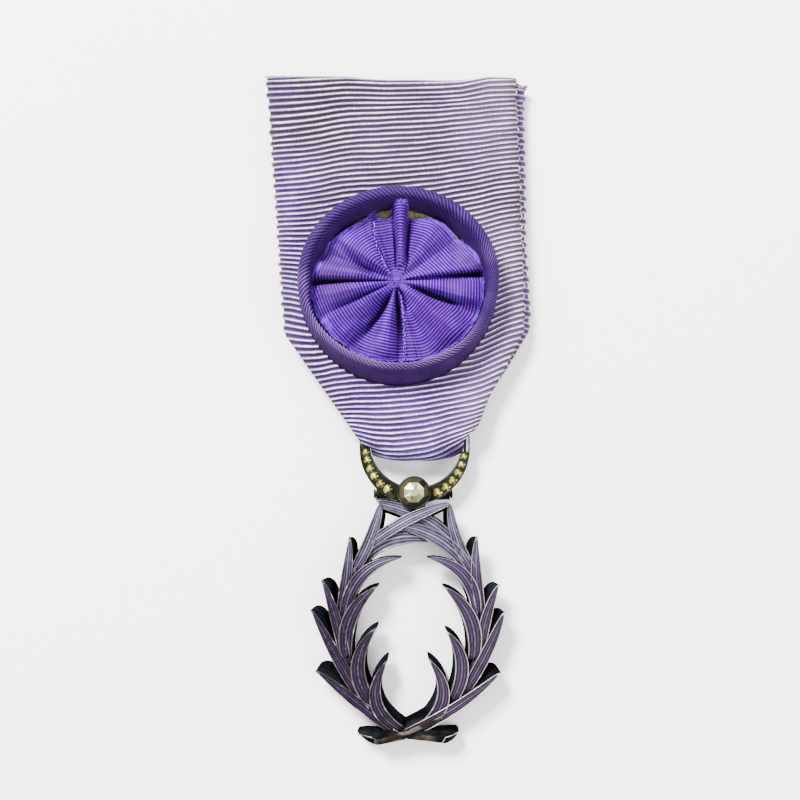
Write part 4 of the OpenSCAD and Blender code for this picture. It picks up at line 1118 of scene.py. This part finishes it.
def cut_stub(name, corners):
    """The hull of the corners, with rounded edges."""
    work = bmesh.new()
    for corner in corners:
        work.verts.new([v * MM for v in corner])
    bmesh.ops.convex_hull(work, input=work.verts)
    loose = [v for v in work.verts if not v.link_faces]
    bmesh.ops.delete(work, geom=loose, context="VERTS")
    bmesh.ops.recalc_face_normals(work, faces=work.faces)
    bmesh.ops.dissolve_limit(work, angle_limit=math.radians(4), verts=work.verts, edges=work.edges)
    mesh = bpy.data.meshes.new(name)
    work.to_mesh(mesh)
    work.free()
    obj = add_object(name, mesh)
    mesh.materials.append(ENAMEL)
    bevel = obj.modifiers.new("bevel", "BEVEL")
    bevel.width = STUB_BEVEL * MM
    bevel.segments = 3
    bevel.limit_method = "ANGLE"
    bevel.angle_limit = math.radians(12)
    bpy.context.view_layer.objects.active = obj
    obj.select_set(True)
    bpy.ops.object.modifier_apply(modifier="bevel")
    obj.select_set(False)
    mesh = obj.data
    mesh.polygons.foreach_set("use_smooth", [True] * len(mesh.polygons))
    set_attribute(mesh, "tone", np.full(len(mesh.vertices), STUB_TONE))
    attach(obj, PALMS)


cut_stub("stem_end_left", STUBS[0])
cut_stub("stem_end_right", STUBS[1])

# Bright worn edges on the slant-cut stem ends and where the lowest leaves meet, columns: x, y, z
STUB_EDGES = [
    [[-6, -48.25, 2.85], [-5, -48.35, 3.45], [-3.7, -48.62, 3.86], [-3.2, -49, 3.6], [-2.75, -49.5, 3.2]],
    [[8.95, -47.95, 2.85], [8.2, -48.25, 3.45], [7.05, -48.55, 3.93], [6.8, -49.0, 3.65], [6.6, -49.5, 3.2]],
    [[-0.7, -47.3, 4.25], [0.2, -47.75, 4.3], [1.0, -48.05, 4.3], [1.5, -47.7, 4.3], [1.9, -47.3, 4.25]]]
edges = Parts()
# The right palm's stem, rubbed bright, crosses over the left one
t = np.linspace(0, 1, 24)
over_y = mix(-49.35, -45.1, t) - 0.4 * np.sin(math.pi * t)
over_z = 3.35 + 0.8 * np.sin(math.pi * mix(0.12, 0.7, t))
over = np.stack([mix(-3.4, 7.2, t), over_y, over_z], axis=-1)
edges.tube(over, 0.42 * np.sin(math.pi * mix(0.3, 0.95, t)), 10, tone=RUBBED_TONE)
for route in STUB_EDGES:
    at = np.linspace(0, len(route) - 1, 25)
    edges.tube(follow(route, np.arange(len(route)), at), 0.075 + 0.02 * np.sin(at * 5))
stub_edges = edges.build("stem_end_edges", [ENAMEL], PALMS)


# CAD pieces that keep their shape

def dress(node, material):
    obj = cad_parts[node]
    obj.data.materials.clear()
    obj.data.materials.append(material)


dress("rosette_card", gold_card())
for node in ("crescent", "wreath_knuckle", "hinge_pin"):
    dress(node, DARK_SILVER)
dress("coat_pin", WORN_SILVER)
dress("centre_stone", STONE)
for side in ("left", "right"):
    for i in range(1, 7):
        dress("stone_%s_%d" % (side, i), GOLD_STONE)


# Crescent trim: beads along both edges, round the seats of the small stones and round the centre collet

CRESCENT, CRESCENT_R, BORE, BORE_R = (2.5, -5.7), 8.29, (2.7, -4.48), 7.03
PLATE_TOP = 3.3
COLLET, COLLET_TOP, STONE_R = (2.38, -12.25), 5.15, 2.25
# Beads along the edges, columns: centre, radius, thickness, height, start and end angle
EDGE_BEADS = [(BORE, BORE_R + 0.1, 0.1, PLATE_TOP, 188, 243),
              (BORE, BORE_R + 0.1, 0.1, PLATE_TOP, 297, 351),
              (CRESCENT, CRESCENT_R - 0.1, 0.12, PLATE_TOP - 0.05, 184, 248),
              (CRESCENT, CRESCENT_R - 0.1, 0.12, PLATE_TOP - 0.05, 292, 356)]
# Small stones, columns: side, angle of the first, distance from the crescent's centre
STONE_ROWS = [(-1, 184, 7.3), (1, -8.8, 7.5)]
# Angle from stone to stone, how much it grows, radius of the first and the last stone
STONES, STONE_STEP, STONE_SPREAD, SMALL_R, LARGE_R = 6, 9.6, 0.2, 0.5, 0.7
# Beads round a small seat and round the collet: distance outwards and thickness; height of both
SEAT_OUT, SEAT_BEAD, COLLET_OUT, COLLET_BEAD, BEAD_UP = 0.06, 0.05, 0.1, 0.13, 0.02
# Rings of a small stone's lower facets, columns: how far outside its radius, how far above the plate
GIRDLE = [(-0.04, 0.08), (0.08, 0.0), (0.06, -0.08), (-0.04, 0.0)]
trim = Parts()
# The lower facets of the small stones, which spread over their seats
girdles = Parts()


def closed_ring(centre, radius, z, thickness, end, steps, sides):
    """A bead round a centre, from angle 0 to the end angle and back to the start."""
    ring = arc(centre, radius, np.linspace(0, end, steps), z)
    trim.tube(np.vstack([ring, ring[:1]]), thickness, sides)


for centre, radius, thickness, z, start, end in EDGE_BEADS:
    trim.tube(arc(centre, radius, np.linspace(start, end, 48), z), thickness)
for side, first_angle, distance in STONE_ROWS:
    for k in range(STONES):
        angle = first_angle - side * (STONE_STEP * k + STONE_SPREAD * k * k)
        cx, cy, _ = arc(CRESCENT, distance, angle, 0)
        r = mix(SMALL_R, LARGE_R, k / (STONES - 1))
        closed_ring((cx, cy), r + SEAT_OUT, PLATE_TOP + BEAD_UP, SEAT_BEAD, 354, 25, 5)
        corners = 45 * np.arange(8)
        rings = [arc((cx, cy), r + out, corners, PLATE_TOP + up) for out, up in GIRDLE]
        girdles.add(np.concatenate(rings), grid_faces(4, 8, closed_rows=True, closed_columns=True))
closed_ring(COLLET, STONE_R + COLLET_OUT, COLLET_TOP + BEAD_UP, COLLET_BEAD, 356, 90, 8)
crescent_trim = trim.build("crescent_trim", [DARK_SILVER], ROOT)
stone_girdles = girdles.build("stone_girdles", [GOLD_STONE], ROOT, smooth=False)


# Floor, light and camera, in metres

FLOOR_HALF = 1.5
SKY_STRENGTH = 1.8
TARGET, CAMERA_DISTANCE, CAMERA_ELEVATION = Vector((0.0003, 0.0016, 0.004)), 0.1955, 86.92
SENSOR_WIDTH, LENS = 36.0, 58.5


def floor():
    mesh = bpy.data.meshes.new("floor")
    corners = [(x * FLOOR_HALF, y * FLOOR_HALF, 0) for x, y in ((-1, -1), (1, -1), (1, 1), (-1, 1))]
    mesh.from_pydata(corners, [], [(0, 1, 2, 3)])
    look = Look("floor_paper", Roughness=0.9, Specular_IOR_Level=0.1)
    look.set("Base Color", look.mixed(look.noise(40), (0.93, 0.93, 0.93), (0.95, 0.95, 0.95)))
    mesh.materials.append(look.material)
    obj = add_object("floor", mesh)
    obj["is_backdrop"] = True


def area_light(name, place, size, power):
    """A square light that faces the origin."""
    data = bpy.data.lights.new(name, "AREA")
    data.shape = "SQUARE"
    data.size = size
    data.energy = power
    obj = add_object(name, data)
    obj.location = place
    obj.rotation_euler = (-Vector(place)).to_track_quat("-Z", "Y").to_euler()


def studio():
    world = bpy.data.worlds.new("studio")
    world.use_nodes = True
    back = world.node_tree.nodes["Background"]
    back.inputs["Color"].default_value = (1.0, 1.0, 1.0, 1.0)
    back.inputs["Strength"].default_value = SKY_STRENGTH
    bpy.context.scene.world = world
    area_light("key", (-0.28, 0.42, 0.5), 0.2, 26.0)
    area_light("fill", (0.45, -0.25, 0.45), 0.4, 5.0)


def camera():
    data = bpy.data.cameras.new("camera")
    data.sensor_width = SENSOR_WIDTH
    data.lens = LENS
    data.clip_start, data.clip_end = 0.01, 10.0
    obj = add_object("camera", data)
    elevation = math.radians(CAMERA_ELEVATION)
    away = Vector((0, -math.cos(elevation), math.sin(elevation)))
    obj.location = TARGET + away * CAMERA_DISTANCE
    obj.rotation_mode = "QUATERNION"
    obj.rotation_quaternion = (-away).to_track_quat("-Z", "Y")
    bpy.context.scene.camera = obj


floor()
studio()
camera()

low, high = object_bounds()
